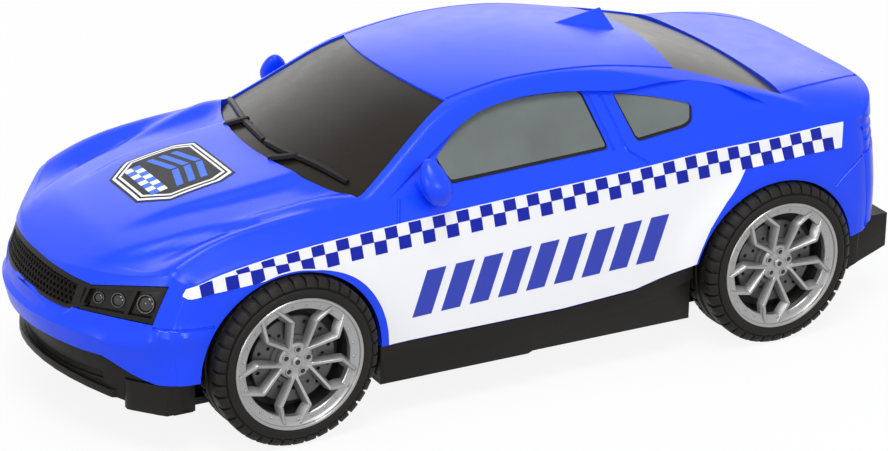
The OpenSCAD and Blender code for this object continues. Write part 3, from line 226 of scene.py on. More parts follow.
def lathe(name, profile, *materials, steps=96):
    """A closed profile of radius and height, spun round the Z axis."""
    profile = np.asarray(profile, float)
    turn = np.arange(steps) * 2 * math.pi / steps
    points = np.stack(
        [np.outer(np.cos(turn), profile[:, 0]), np.outer(np.sin(turn), profile[:, 0]),
         np.tile(profile[:, 1], (steps, 1))], axis=-1)
    n = len(profile)
    faces = []
    for s in range(steps):
        for k in range(n):
            a, b = s * n + k, s * n + (k + 1) % n
            c, d = ((s + 1) % steps) * n + (k + 1) % n, ((s + 1) % steps) * n + k
            faces.append((a, b, c, d))
    return outward(add_mesh(name, points.reshape(-1, 3), faces, *materials))


print("shape helpers ready")


# %% Joining, mirroring and rounding
def join(name, *objs):
    """One object out of several, with their materials."""
    bm = bmesh.new()
    materials = []
    for obj in objs:
        shift = []
        for material in obj.data.materials:
            if material not in materials:
                materials.append(material)
            shift.append(materials.index(material))
        start = len(bm.faces)
        bm.from_mesh(obj.data)
        bm.faces.ensure_lookup_table()
        for face in bm.faces[start:]:
            if shift:
                face.material_index = shift[min(face.material_index, len(shift) - 1)]
    mesh = bpy.data.meshes.new(name)
    bm.to_mesh(mesh)
    bm.free()
    for material in materials:
        mesh.materials.append(material)
    obj = bpy.data.objects.new(name, mesh)
    scene.collection.objects.link(obj)
    remove(*objs)
    return obj


def mirrored(obj, name):
    """A copy of a piece on the other side of the car."""
    copy = bpy.data.objects.new(name, obj.data.copy())
    scene.collection.objects.link(copy)
    copy.data.transform(Matrix.Diagonal((1, -1, 1, 1)))
    copy.data.flip_normals()
    return copy


def rounded(corners, radius, steps=5):
    """A closed outline with each corner turned into an arc."""
    corners = [np.asarray(c, float) for c in corners]
    outline = []
    for k, corner in enumerate(corners):
        before, after = corners[k - 1], corners[(k + 1) % len(corners)]
        a, b = before - corner, after - corner
        reach = min(radius, 0.45 * np.linalg.norm(a), 0.45 * np.linalg.norm(b))
        start, end = corner + a / np.linalg.norm(a) * reach, corner + b / np.linalg.norm(b) * reach
        for t in np.linspace(0, 1, steps):
            outline.append((1 - t) ** 2 * start + 2 * t * (1 - t) * corner + t ** 2 * end)
    return np.array(outline)


def length_along(points):
    """Length of a run of points up to each of them."""
    return np.concatenate([[0], np.cumsum(np.linalg.norm(np.diff(points, axis=0), axis=1))])


def points_at(at, run, points):
    """Points at given lengths along a run of points."""
    return np.stack([np.interp(at, run, points[:, a]) for a in range(3)], axis=1)


print("mesh helpers ready")

# %% [markdown]
# ## Materials
# The toy is made of glossy coloured plastic, matt black plastic, rubber, printed vinyl and satin paint.
# Plain colours would look like a drawing, so each material lets a noise texture vary its colour and shine a
# little and adds a very shallow grain. The noise reads *Object* coordinates, which stay with the piece when
# it moves.


# %% Material helper
# Grains to a cloud of colour, roughness of the coat, drift of the shine, depth of the grain in millimetres
CLOUD, COAT_ROUGH, SHINIER, DULLER, GRAIN_DEEP = 12, 0.08, 0.8, 1.25, 0.1


def surface(name, colour, rough, vary=0.06, grain=2.0, bump=0.02, metallic=0.0, coat=0.0,
            specular=0.5):
    """A Principled material whose colour and shine drift with noise of the given grain, in millimetres."""
    material = bpy.data.materials.new(name)
    material.use_nodes = True
    nodes, links = material.node_tree.nodes, material.node_tree.links
    shader = nodes["Principled BSDF"]
    shader.inputs["Metallic"].default_value = metallic
    shader.inputs["Specular IOR Level"].default_value = specular
    shader.inputs["Coat Weight"].default_value = coat
    shader.inputs["Coat Roughness"].default_value = COAT_ROUGH
    place = nodes.new("ShaderNodeTexCoord")
    cloud = nodes.new("ShaderNodeTexNoise")
    cloud.inputs["Scale"].default_value = 1 / (CLOUD * grain * MM)
    cloud.inputs["Detail"].default_value = 3
    fine = nodes.new("ShaderNodeTexNoise")
    fine.inputs["Scale"].default_value = 1 / (grain * MM)
    fine.inputs["Detail"].default_value = 2
    for noise in (cloud, fine):
        links.new(place.outputs["Object"], noise.inputs["Vector"])
    tint = nodes.new("ShaderNodeMix")
    tint.data_type = "RGBA"
    tint.inputs["A"].default_value = (*[c * (1 - vary) for c in colour], 1)
    tint.inputs["B"].default_value = (*[min(1, c * (1 + vary)) for c in colour], 1)
    links.new(cloud.outputs["Fac"], tint.inputs["Factor"])
    links.new(tint.outputs["Result"], shader.inputs["Base Color"])
    shine = nodes.new("ShaderNodeMapRange")
    shine.inputs["To Min"].default_value = rough * SHINIER
    shine.inputs["To Max"].default_value = min(1, rough * DULLER)
    links.new(fine.outputs["Fac"], shine.inputs["Value"])
    links.new(shine.outputs["Result"], shader.inputs["Roughness"])
    relief = nodes.new("ShaderNodeBump")
    relief.inputs["Strength"].default_value = bump
    relief.inputs["Distance"].default_value = GRAIN_DEEP * MM
    links.new(fine.outputs["Fac"], relief.inputs["Height"])
    links.new(relief.outputs["Normal"], shader.inputs["Normal"])
    return material


print("material helper ready")

# %% Materials of the car
blue = surface("Blue plastic", (0.004, 0.055, 0.9), 0.3, vary=0.04, grain=6, bump=0.01, specular=0.3)
black = surface("Black plastic", (0.009, 0.008, 0.007), 0.42, vary=0.2, grain=0.8, bump=0.15, specular=0.18)
gloss_black = surface("Lamp black", (0.008, 0.008, 0.008), 0.16, vary=0.15, grain=3, bump=0.01, specular=0.25)
lens_dark = surface("Lamp lens", (0.03, 0.03, 0.031), 0.08, vary=0.2, bump=0, coat=0.3, specular=0.3)
screen_glass = surface("Dark window", (0.012, 0.009, 0.007), 0.28, vary=0.35, grain=5, bump=0.01,
                       specular=0.18)
rear_glass = surface("Rear window", (0.06, 0.05, 0.042), 0.3, vary=0.25, grain=5, bump=0.01)
side_glass = surface("Grey window", (0.12, 0.14, 0.135), 0.4, vary=0.3, grain=1.2, specular=0.35)
white_print = surface("White print", (0.86, 0.87, 0.90), 0.45, vary=0.015, grain=3, specular=0.3)
navy_print = surface("Navy print", (0.004, 0.014, 0.36), 0.45, vary=0.05, grain=3, specular=0.2)
navy_bar = surface("Navy bars", (0.03, 0.05, 0.42), 0.45, vary=0.04, grain=3, specular=0.3)
black_print = surface("Black print", (0.02, 0.02, 0.022), 0.5, vary=0.1, grain=3, specular=0.15)
patch_blue = surface("Patch blue", (0.05, 0.16, 0.75), 0.5, vary=0.05, grain=3, specular=0.2)
rubber = surface("Tyre rubber", (0.010, 0.009, 0.008), 0.55, vary=0.2, grain=0.6, bump=0.2, specular=0.2)
silver = surface("Rim silver", (0.36, 0.36, 0.36), 0.32, vary=0.06, grain=0.5, bump=0.04, metallic=0.7)
# Silver paint on the brake disc, darkened to a dark grey as painted shade for the hollow inside the wheel
# behind the spokes.
disc_silver = surface("Disc silver", (0.10, 0.10, 0.10), 0.45, vary=0.1, grain=0.5, bump=0.08, metallic=0.5)
# Near-black standing in for shade: painted shade on the rim's drum and on the sheet behind the spokes, in the
# lug nuts' holes and in the cap's dimple.
painted_shade_dark = surface("Dark rim", (0.014, 0.014, 0.013), 0.5, vary=0.15, grain=0.8, bump=0.1, metallic=0.2)
steel = surface("Steel", (0.5, 0.5, 0.51), 0.28, vary=0.08, grain=0.4, bump=0.05, metallic=1.0)
gear_white = surface("Gear plastic", (0.78, 0.77, 0.70), 0.4, vary=0.05, grain=1.0, bump=0.05)
print(len(bpy.data.materials), "materials")

# %% [markdown]
# ## Handing a piece over
# Every finished piece is told which moving part it rides on and which measured node it stands for. The car
# body carries most of them; the wheels ride on the two axles. Pieces of the left side are made once and
# mirrored for the right.


# %% Hand-over helpers
def hand_over(obj, node, rider="car", angle=32):
    soften(obj, angle)
    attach(obj, rider)
    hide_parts(node)


def hand_over_both(left, node, angle=32):
    """Hands over a piece whose name ends in _left, and its mirror image."""
    right = mirrored(left, left.name.replace("_left", "_right"))
    for obj, side in ((left, "_left"), (right, "_right")):
        hand_over(obj, node + side, angle=angle)


print("hand-over ready")

# %% [markdown]
# ## Lines of the body
# A car body is drawn from a few long lines: the middle of the hood and roof, the crease along the side, the
# folds in the hood and the bumpers seen from above. Each line is a short table of places and values, as
# shares of half the length, the height or half the width, with a smooth curve through it. The tables follow
# the measured model, so the skin made from them lies on it, apart from the front fenders, which stand a few
# millimetres higher here.

# %% Tables of lines
HALF_L, HALF_W, ROOF, SILL = 123.0, 46.0, 85.5, 21.0
FRONT_X, REAR_X, AXLE_Z = 67.55, -78.75, 23.0
ARCH_R, ARCH_Z = 25.6, 21.0
deck_line = [(-1, .725), (-.96, .753), (-.83, .79), (-.7, .81), (-.325, .813), (0, .795), (.325, .76),
             (.47, .74), (.61, .716), (.73, .682), (.845, .629), (.91, .58), (.96, .532), (1, .48)]
crease_line = [(-1, .678), (-.894, .704), (-.797, .708), (-.634, .698), (-.447, .692), (-.28, .678),
               (.057, .658), (.341, .64), (.569, .615), (.707, .585), (.789, .552), (.862, .52), (1, .468)]
cabin_line = [(-1, .575), (-.772, .754), (-.7, .812), (-.585, .877), (-.455, .939), (-.268, .987), (-.114, 1),
              (.041, .987), (.171, .95), (.325, .849), (.472, .74), (.569, .667), (1, .36)]
cabin_crown = [(-.772, .016), (-.7, .0175), (-.57, .03), (-.44, .044), (-.244, .0386), (-.057, .036),
               (.122, .044), (.252, .055), (.472, .053), (.569, .053)]
deck_power = [(-1, 7), (-.65, 9), (0, 6), (.41, 3.4), (.61, 2.8), (.96, 2.4), (1, 2.4)]
fender_rise = [(-1, 0), (.28, 0), (.36, .04), (.45, .066), (.65, .074), (.72, .066), (.78, .052),
               (.82, .034), (.86, .011), (.89, 0), (1, 0)]
inner_fold = [(-1, .467), (.407, .467), (.593, .457), (.74, .387), (.846, .335), (1, .26)]
inner_rise = [(-1, 0), (0, 0), (.2, 0), (.407, .0257), (.593, .022), (.74, .0117), (.846, 0), (1, 0)]
outer_fold = [(-1, .87), (.366, .87), (.488, .804), (.7, .663), (.772, .609), (.846, .543), (.943, .424),
              (1, .37)]
outer_rise = [(-1, 0), (0, 0), (.2, 0), (.366, .0117), (.488, .03), (.65, .035), (.772, .0234), (.878, .0105),
              (.951, 0), (1, 0)]
nose_line = [(0, .955), (.18, .96), (.31, .976), (.48, .987), (.66, .998), (.725, 1), (.81, .994), (.9, .98),
             (1, .961)]
tail_line = [(0, .97), (.3, .985), (.45, .998), (.53, 1), (.7, .99), (.87, .976), (1, .967)]
sill_line = [(-1.1, 1.32), (-1, 1.32), (-.848, 1.21), (-.7, 1.21), (-.433, 1.27), (-.283, 1.06), (-.1, 1),
             (.33, 1), (1.1, 1)]
intake_line = [(0, 1.31), (.3, 1.31), (.65, 1.27), (.82, 1.08), (.92, 1), (1, 1)]


def curve(table, place):
    """A smooth curve through a table."""
    x, y = np.asarray(table, float).T
    place = np.clip(np.asarray(place, float), x[0], x[-1])
    slope = np.gradient(y, x)
    slope[1:-1] = (y[2:] - y[:-2]) / (x[2:] - x[:-2])
    k = np.clip(np.searchsorted(x, place, side="right") - 1, 0, len(x) - 2)
    span = x[k + 1] - x[k]
    u = (place - x[k]) / span
    return (y[k] * (2 * u ** 3 - 3 * u ** 2 + 1) + slope[k] * span * (u ** 3 - 2 * u ** 2 + u)
            + y[k + 1] * (3 * u ** 2 - 2 * u ** 3) + slope[k + 1] * span * (u ** 3 - u ** 2))


def ease(t):
    t = np.clip(t, 0, 1)
    return t * t * (3 - 2 * t)


print("crease at the doors, mm:", round(float(ROOF * curve(crease_line, 0)), 1))

# %% [markdown]
# Between the lines lie a few plain surfaces: the side, which draws in towards the sill, the deck of hood
# and trunk with its folds and fenders, and the cabin over it. Each is a function that gives a height or a
# width at a place.

# %% Surfaces between the lines
# Lean of the cabin's sides, tuck of the doors and least room of the roof rail
LEAN, SIDE_TUCK, RAIL_ROOM = 0.6, 0.127, 0.69
# Where the flanks start to draw in, over which run and how much
NOSE_TUCK, TAIL_TUCK = (0.488, 0.407, 0.0196), (0.61, 0.325, 0.026)
# Widths of the hood's folds; where the fender starts, its run and its rounded edge
INNER_WIDE, OUTER_WIDE = 2.6, 3.4
FENDER_IN, FENDER_RUN, FENDER_EDGE = 31, 11.5, 3.0
# Width at which the roof's crown is measured, and the softness between deck and cabin
CROWN_AT, SOFTNESS = 0.652, 0.6
# Where the ends start to bend, how far they bow back at the sides, and how squarely
NOSE_FROM, NOSE_BOW, NOSE_POWER = 0.45, 0.18, 2.18
TAIL_FROM, TAIL_BOW, TAIL_POWER = 0.6, 0.101, 3.86


def crease_z(x):
    return ROOF * curve(crease_line, x / HALF_L)


def waist_y(x):
    """Half the width at the crease."""
    tuck = [much * (np.maximum(s - start, 0) / run) ** 2
            for s, (start, run, much) in ((x / HALF_L, NOSE_TUCK), (-x / HALF_L, TAIL_TUCK))]
    return HALF_W * (1 - tuck[0] - tuck[1])


def fold_step(line, rise, x, y, width):
    """Height that the hood gains inside one of its folds."""
    s = x / HALF_L
    edge = HALF_W * curve(line, s)
    wide = np.minimum(width, 0.8 * (waist_y(x) - edge))
    return ROOF * curve(rise, s) * (1 - ease((np.abs(y) - edge) / wide))


def deck_z(x, y):
    s, wide = x / HALF_L, np.abs(y)
    crease = crease_z(x)
    rises = ROOF * (curve(inner_rise, s) + curve(outer_rise, s))
    crown = ROOF * curve(deck_line, s) - crease - rises
    rounded_off = 1 - (wide / HALF_W) ** curve(deck_power, s)
    fender = ease((wide - FENDER_IN) / FENDER_RUN) * ease((HALF_W - wide) / FENDER_EDGE)
    return (crease + crown * rounded_off + fold_step(inner_fold, inner_rise, x, y, INNER_WIDE)
            + fold_step(outer_fold, outer_rise, x, y, OUTER_WIDE) + ROOF * curve(fender_rise, s) * fender)


def cabin_z(x, y):
    s = x / HALF_L
    return ROOF * (curve(cabin_line, s) - curve(cabin_crown, s) * (y / HALF_W / CROWN_AT) ** 2)


def top_z(x, y):
    """Hood, roof and trunk: the higher of deck and cabin, with a soft corner between them."""
    a, b = deck_z(x, y), cabin_z(x, y)
    return (a + b + np.sqrt((a - b) ** 2 + SOFTNESS)) / 2


def side_y(x, z):
    """Half the width at a place and height."""
    below = crease_z(x) - z
    return waist_y(x) - LEAN * np.maximum(-below, 0) - HALF_W * SIDE_TUCK * (np.maximum(below, 0) / ROOF) ** 2


def place_x(s, y, level):
    """Where station s stands at this width and level: the stations bend round the nose and the tail."""
    nose, tail = HALF_L * nose_line[-1][1], HALF_L * tail_line[-1][1]
    nose_bend = np.clip((s - NOSE_FROM) / (1 - NOSE_FROM), 0, 1) ** 2
    tail_bend = np.clip((-s - TAIL_FROM) / (1 - TAIL_FROM), 0, 1) ** 2
    wide = np.abs(y) / HALF_W
    return (s * np.where(s > 0, nose, tail)
            + nose_bend * (HALF_L * curve(nose_line, level) - nose - HALF_L * NOSE_BOW * wide ** NOSE_POWER)
            - tail_bend * (HALF_L * curve(tail_line, level) - tail - HALF_L * TAIL_BOW * wide ** TAIL_POWER))


def rail_y(x):
    """Where the roof or the deck meets the leaning side."""
    low, high = np.zeros_like(x), np.full_like(x, HALF_W)
    for _ in range(24):
        middle = (low + high) / 2
        over = top_z(x, middle) > crease_z(x) + (waist_y(x) - middle) / LEAN
        high, low = np.where(over, middle, high), np.where(over, low, middle)
    return np.minimum(high, waist_y(x) - RAIL_ROOM)


def sill_z(x):
    return SILL * np.interp(x / HALF_L, *np.array(sill_line).T)


print("roof height at the middle, mm:", round(float(top_z(np.array(-14.0), np.array(0.0))), 1))

# %% [markdown]
# ## The moulded body
# The real body is one thin plastic moulding. It could be box-modelled by hand, but its lines are known, so
# the skin is computed: about 250 cross-sections, each a run of points from the sill over the roof to the
# other sill. Points crowd together at the crease, the roof rail and the hood folds. Each section is blurred
# a little along its length, which rounds its corners as a mould does.

# %% Cross-sections
# Steps up the side, over the rail, and between the folds of the top
SIDE, RAIL, TOP = 18, 10, (8, 10, 12)
# Stations along the car stand closer together at both ends
END_SHARE, END_STATIONS, END_POWER, MIDDLE_STATIONS = 0.06, 18, 1.5, 210
near_end = END_SHARE * np.linspace(0, 1, END_STATIONS + 1)[:-1] ** END_POWER
middle = np.linspace(END_SHARE - 1, 1 - END_SHARE, MIDDLE_STATIONS)
STATIONS = np.concatenate([near_end - 1, middle, 1 - near_end[::-1]])
# Points of a section before it is blurred; step, width and reach of the blur
SIDE_FINE, RAIL_FINE, TOP_FINE = 80, 28, 160
STEP, BLUR, REACH = 0.25, 0.8, 12
CROWDING, DECK_EDGE = 1.7, 1.4


def crowd(n, ends):
    """n steps from 0 to 1, crowded at the far end (1) or at both ends (2)."""
    t = np.linspace(0, 1, n + 1)
    return 1 - (1 - t) ** CROWDING if ends == 1 else 0.5 * t + 0.25 * (1 - np.cos(math.pi * t))


def drawn_half(s, edge):
    """Half a cross-section as three runs of points: up the side, over the rail and along the top."""
    t = np.linspace(0, 1, SIDE_FINE)
    z = sill_z(edge) + t * (crease_z(edge) - sill_z(edge))
    x = place_x(s, HALF_W, z / crease_z(edge))
    z = sill_z(x) + t * (crease_z(x) - sill_z(x))
    side = np.stack([x, side_y(x, z), z], axis=1)
    y = np.linspace(float(rail_y(np.array([edge]))[0]), 0, TOP_FINE)
    x = place_x(s, y, 1.0)
    top = np.stack([x, y, top_z(x, y)], axis=1)
    rail = side[-1] + np.linspace(0, 1, RAIL_FINE + 2)[1:-1, None] * (top[0] - side[-1])
    return side, rail, top


def blurred(line):
    """The run of points with softened corners; at its top the other half continues it."""
    before = 2 * line[0] - line[2 * REACH:0:-1]
    after = line[:-2 * REACH - 2:-1] * [1, -1, 1]
    kernel = np.exp(-0.5 * (np.arange(-REACH, REACH + 1) * STEP / BLUR) ** 2)
    padded = np.concatenate([before, line, after])
    soft = np.stack([np.convolve(padded[:, a], kernel / kernel.sum(), "same") for a in range(3)], axis=1)
    return soft[2 * REACH:2 * REACH + len(line)]


def section(s):
    """Half a cross-section, from the sill to the middle of the top."""
    s = np.array(float(s))
    edge = place_x(s, HALF_W, 1.0)
    side, rail, top = drawn_half(s, edge)
    half = np.concatenate([side, rail, top])
    run = length_along(half)
    top_run = run[SIDE_FINE + RAIL_FINE:]
    squeeze = min(1, top[0, 1] / (HALF_W - DECK_EDGE))
    folds = [squeeze * HALF_W * float(curve(line, edge / HALF_L)) for line in (outer_fold, inner_fold)]
    marks = [run[SIDE_FINE - 1], top_run[0], *(float(np.interp(-f, -top[:, 1], top_run)) for f in folds),
             run[-1]]
    places = [crowd(SIDE, 1) * marks[0]]
    for start, end, n in zip(marks[:-1], marks[1:], (RAIL, *TOP)):
        places.append(start + crowd(n, 2)[1:] * (end - start))
    even = np.arange(0, run[-1], STEP)
    points = points_at(np.concatenate(places), even, blurred(points_at(even, run, half)))
    points[-1, 1] = 0
    return points


halves = np.array([section(s) for s in STATIONS])
rings = np.concatenate([halves, halves[:, -2::-1] * [1, -1, 1]], axis=1)
ring = rings.shape[1]
print(len(STATIONS), "stations of", ring, "points")

# %% [markdown]
# The sections leave the two ends of the car open. A bowed sheet closes each: its edges are the points of
# the last section, and between them it follows the line of the bumper.

# %% Nose and tail
CORNER_FADE = 4.0


def end_face(edge, line, floor):
    """A sheet of points between the two side edges of an end ring, under its lip."""
    lip = edge[SIDE:ring - SIDE]
    level = crowd(SIDE, 1)[:, None]
    low = floor(np.abs(lip[:, 1]) / HALF_W)
    z = low + level * (lip[:, 2] - low)
    sign = 1 if lip[len(lip) // 2, 0] > 0 else -1
    x = lip[:, 0] + sign * HALF_L * (curve(line, z / lip[:, 2]) - line[-1][1])
    y = lip[:, 1] * (edge[:SIDE + 1, 1] / lip[0, 1])[:, None]
    x = x + (edge[:SIDE + 1, :1] - x[:, :1]) * np.exp((np.abs(lip[:, 1]) - lip[0, 1]) / CORNER_FADE)
    sheet = np.stack([x, y, z], axis=-1)
    sheet[:, 0], sheet[:, -1] = edge[:SIDE + 1], edge[:ring - SIDE - 2:-1]
    sheet[-1] = lip
    return sheet


def number_sheet(station, first):
    """Point numbers of an end's sheet; its edges are the ring's own points."""
    width = ring - 2 * SIDE
    number = np.full((SIDE + 1, width), -1)
    start = station * ring
    number[:, 0] = start + np.arange(SIDE + 1)
    number[:, -1] = start + ring - 1 - np.arange(SIDE + 1)
    number[-1] = start + SIDE + np.arange(width)
    number[:-1, 1:-1] = first + np.arange(SIDE * (width - 2)).reshape(SIDE, width - 2)
    return number


def sheet_faces(number, flip):
    quads = []
    for r in range(number.shape[0] - 1):
        for c in range(number.shape[1] - 1):
            quad = (number[r, c], number[r, c + 1], number[r + 1, c + 1], number[r + 1, c])
            quads.append(quad[::-1] if flip else quad)
    return quads


tail_low = SILL * sill_line[0][1]
nose_sheet = end_face(rings[-1], nose_line, lambda w: SILL * np.interp(w, *np.array(intake_line).T))
tail_sheet = end_face(rings[0], tail_line, lambda w: tail_low + 0 * w)
sheet_points = [sheet[:-1, 1:-1].reshape(-1, 3) for sheet in (nose_sheet, tail_sheet)]
skin = np.concatenate([rings.reshape(-1, 3), *sheet_points])
first = len(STATIONS) * ring
nose_number = number_sheet(len(STATIONS) - 1, first)
tail_number = number_sheet(0, first + SIDE * (ring - 2 * SIDE - 2))
faces = grid_faces(len(STATIONS), ring)
faces = np.array(faces + sheet_faces(nose_number, True) + sheet_faces(tail_number, False))
print("skin of", len(skin), "points")

# %% [markdown]
# The corners where the nose and tail sheets meet the sides would be knife-sharp. Moving each point a little
# towards the middle of its neighbours, over and over, rounds the lips. The points of the lower edge keep
# their height. The four upright corners get a larger round: points closer to the corner line than the size
# of the round move inwards, most at the corner itself.

# %% Round the corners
# How far from the ends points are relaxed, how strongly and how often
CORNER_COLUMNS, CORNER_FROM, LIP_FROM = 14, 0.965, 0.975
RELAX, TURNS = 0.5, 10
# Size of the upright round, its depth as a share of that, its way inwards and the width where flanks begin
ROUND, ROUND_DEPTH, ROUND_WAY, FLANK = 4.5, 0.207, [0.383, 0.924], 30
NO_COLUMN = 99
pairs = np.concatenate([faces[:, [k, (k + 1) % 4]] for k in range(4)])
edges = np.unique(np.sort(pairs, axis=1), axis=0)
degree = np.bincount(edges.ravel(), minlength=len(skin))
station = np.concatenate([np.repeat(np.abs(STATIONS), ring), np.ones(len(skin) - first)])
column = np.full(len(skin), NO_COLUMN)
for number in (nose_number, tail_number):
    place = np.arange(number.shape[1])
    column[number] = np.broadcast_to(np.minimum(place, place[::-1]), number.shape)
left_low = np.arange(len(STATIONS)) * ring
right_low = left_low + ring - 1
low_edge = np.concatenate([left_low, right_low, nose_number[0], tail_number[0]])
floor_z = skin[low_edge, 2].copy()


def relax(points, weight):
    """Moves points towards the middle of their neighbours, by a weight for each."""
    for _ in range(TURNS):
        total = np.zeros_like(points)
        for axis in range(3):
            total[:, axis] = (np.bincount(edges[:, 0], points[edges[:, 1], axis], len(points))
                              + np.bincount(edges[:, 1], points[edges[:, 0], axis], len(points)))
        points = points + weight[:, None] * (total / degree[:, None] - points)
        points[low_edge, 2] = floor_z
    return points


at_corner = (column < CORNER_COLUMNS) | ((station > CORNER_FROM) & (column == NO_COLUMN))
skin = relax(skin, np.where(at_corner | (station > LIP_FROM), RELAX, 0.0))
corners = np.concatenate([skin[number[:, c]] for number in (nose_number, tail_number) for c in (0, -1)])
near = np.nonzero(np.abs(skin[:, 1]) > FLANK)[0]
gap = np.linalg.norm(skin[near, None] - corners[None], axis=2).min(axis=1)
inwards = ROUND_DEPTH / ROUND * np.maximum(ROUND - gap, 0)[:, None] ** 2
skin[near, :2] -= inwards * np.sign(skin[near, :2]) * ROUND_WAY
print(int((gap < ROUND).sum()), "points in the upright rounds")

# %% [markdown]
# Two more forms belong to the skin. The bumper has a ledge: points under a drawn line move outwards. The
# wheel arches swell a little, most at their edge.

# %% Bumper ledge and arch flares
ledge_line = [(0, 33), (10, 33.3), (18.2, 33.9), (22, 33.6), (29.9, 33.3), (33.8, 32.6), (37.7, 33.0),
              (40.5, 34.4), (42.2, 35.6), (46, 36.7)]
# How far the ledge stands out, how deep it reaches, where it starts along the car, and its way outwards
LEDGE_OUT, LEDGE_DEEP, LEDGE_FROM, LEDGE_RUN, LEDGE_MIDDLE, LEDGE_WIDE = 1.2, 9, 90, 8, 95, 0.6
# Room under the crease, fade below it, reach from the arch and least width of a flare
FLARE_ROOM, FLARE_FADE, FLARE_REACH, FLARE_SIDE = 1.0, 8, 6, 36
FRONT_SWELL, REAR_SWELL = 0.5, 1.3
under = np.interp(np.abs(skin[:, 1]), *np.array(ledge_line).T) - skin[:, 2]
ledge = LEDGE_OUT * ease(under + 0.5) * ease((LEDGE_DEEP - under) / LEDGE_DEEP)
ledge *= ease((skin[:, 0] - LEDGE_FROM) / LEDGE_RUN)
around = np.stack([np.maximum(skin[:, 0] - LEDGE_MIDDLE, 0), skin[:, 1] * LEDGE_WIDE, 0 * under], axis=1)
skin += ledge[:, None] * around / np.maximum(np.linalg.norm(around, axis=1), 1e-6)[:, None]
for x, swell in ((FRONT_X, FRONT_SWELL), (REAR_X, REAR_SWELL)):
    away = np.hypot(skin[:, 0] - x, skin[:, 2] - ARCH_Z) - ARCH_R
    fade = ease((crease_z(skin[:, 0]) - FLARE_ROOM - skin[:, 2]) / FLARE_FADE)
    fade *= np.abs(skin[:, 1]) > FLARE_SIDE
    skin[:, 1] += np.sign(skin[:, 1]) * swell * np.exp(-(np.maximum(away, 0) / FLARE_REACH) ** 2) * fade
print("skin box, mm:", skin.min(axis=0).round(1), skin.max(axis=0).round(1))

# %% [markdown]
# The moulding has a thickness, so a second skin is made inside the first by moving every point back along
# its normal. A rim joins the two along the lower edge, which makes the whole body one closed mesh that the
# Boolean modifier can cut.

# %% Wall of the body
WALL = 2.0


def normals_of(points, faces):
    a = points[faces[:, 2]] - points[faces[:, 0]]
    b = points[faces[:, 3]] - points[faces[:, 1]]
    flat = np.cross(a, b)
    total = np.zeros_like(points)
    for k in range(4):
        for axis in range(3):
            total[:, axis] += np.bincount(faces[:, k], flat[:, axis], len(points))
    return total / np.maximum(np.linalg.norm(total, axis=1), 1e-9)[:, None]


normals = normals_of(skin, faces)
flank = np.abs(skin[:, 1]) > FLANK
if np.mean(normals[flank, 1] * skin[flank, 1]) < 0:
    faces, normals = faces[:, ::-1], -normals
inner = skin - WALL * normals
inner[low_edge, 2] = floor_z
path = np.concatenate([left_low, nose_number[0, 1:-1], right_low[::-1], tail_number[0, -2:0:-1]])
count = len(skin)
rim = [(b, a, a + count, b + count) for a, b in zip(path, np.roll(path, -1))]
walls = [*map(tuple, faces), *(tuple(f + count)[::-1] for f in faces), *rim]
body = outward(add_mesh("car_body", np.concatenate([skin, inner]), walls, blue))
print("body wall:", len(body.data.polygons), "faces")

# %% [markdown]
# Small pieces have to lie on this bowed skin. A ray that is shot at it from the side, from above or from
# the front finds the place, and a lift moves it off the skin.

# %% Places on the skin
skin_tree = BVHTree.FromPolygons(skin.tolist(), faces.tolist())
BESIDE, ABOVE, AHEAD = 80, 120, 160


def probe(start, way, lift):
    """Where a ray first meets the skin, lifted off it."""
    place, normal = skin_tree.ray_cast(Vector(start), Vector(way))[:2]
    return np.array(place) + lift * np.array(normal if normal.dot(Vector(way)) < 0 else -normal)


def on_side(x, z, lift=0.0):
    """Point of the left side at a place and height."""
    return probe((x, BESIDE, z), (0, -1, 0), lift)


def on_top(x, y, lift=0.0):
    """Point of the hood, roof or trunk at a place and width."""
    return probe((x, y, ABOVE), (0, 0, -1), lift)


def on_front(y, z, lift=0.0):
    """Point of the nose at a width and height."""
    return probe((AHEAD, y, z), (-1, 0, 0), lift)


print("side of the door, mm:", on_side(0.0, 50.0).round(1))

# %% [markdown]
# ## Openings
# Wheel arches, windows, lamp pockets and the grille opening are cut with closed cutters. The window band is
# a shallow slab whose lower edge lies flush with the side and whose upper edge is sunk, so that the roof
# rail stands over the glass as it does on the moulding.

# %% Cut the arches and the windows
screen_base, screen_top = (.472, .382, .887), (.171, .126, .635)
rear_top, rear_base = (-.455, -.441, .63), (-.695, -.68, .833)
door_window = [(.187, .785), (.17, .716), (-.06, .729), (-.217, .737), (-.19, .9), (-.1, .908), (-.03, .908),
               (.03, .901), (.075, .886), (.135, .838)]
quarter_window = [(-.287, .743), (-.41, .761), (-.431, .772), (-.444, .819), (-.4, .838), (-.35, .856),
                  (-.261, .88)]
band_top = [(.321, .703), (.186, .814), (.085, .884), (0, .9095), (-.1, .913), (-.19, .903), (-.282, .889),
            (-.408, .891), (-.537, .851), (-.629, .784)]
band_low = [(.321, .7025), (.2, .714), (.06, .721), (-.06, .728), (-.217, .736), (-.287, .742), (-.431, .76),
            (-.546, .773), (-.629, .7835)]


def bowed(shares, k):
    k = np.asarray(k, float)
    return np.stack([HALF_L * (shares[0] + (shares[1] - shares[0]) * k ** 2), k * shares[2] * HALF_W],
                    axis=-1)


def screen_outline(base, top, steps=33):
    k = np.linspace(-1, 1, steps)
    return np.concatenate([bowed(base, k), bowed(top, -k)])


# Inner ends of the cutters for arches and panes, lowest heights of those for the screens, and their far ends
ARCH_IN, PANE_IN, SCREEN_LOW, REAR_LOW = 31, 20, 56.4, 60
OUTSIDE, OVERHEAD = 60, 120


def cut_both_sides(target, name, outline, inner):
    """Cuts a drawing of the side view out of both flanks."""
    carve(target, prism(name + "_left", outline, inner, OUTSIDE, 1),
          prism(name + "_right", outline, -OUTSIDE, -inner, 1))


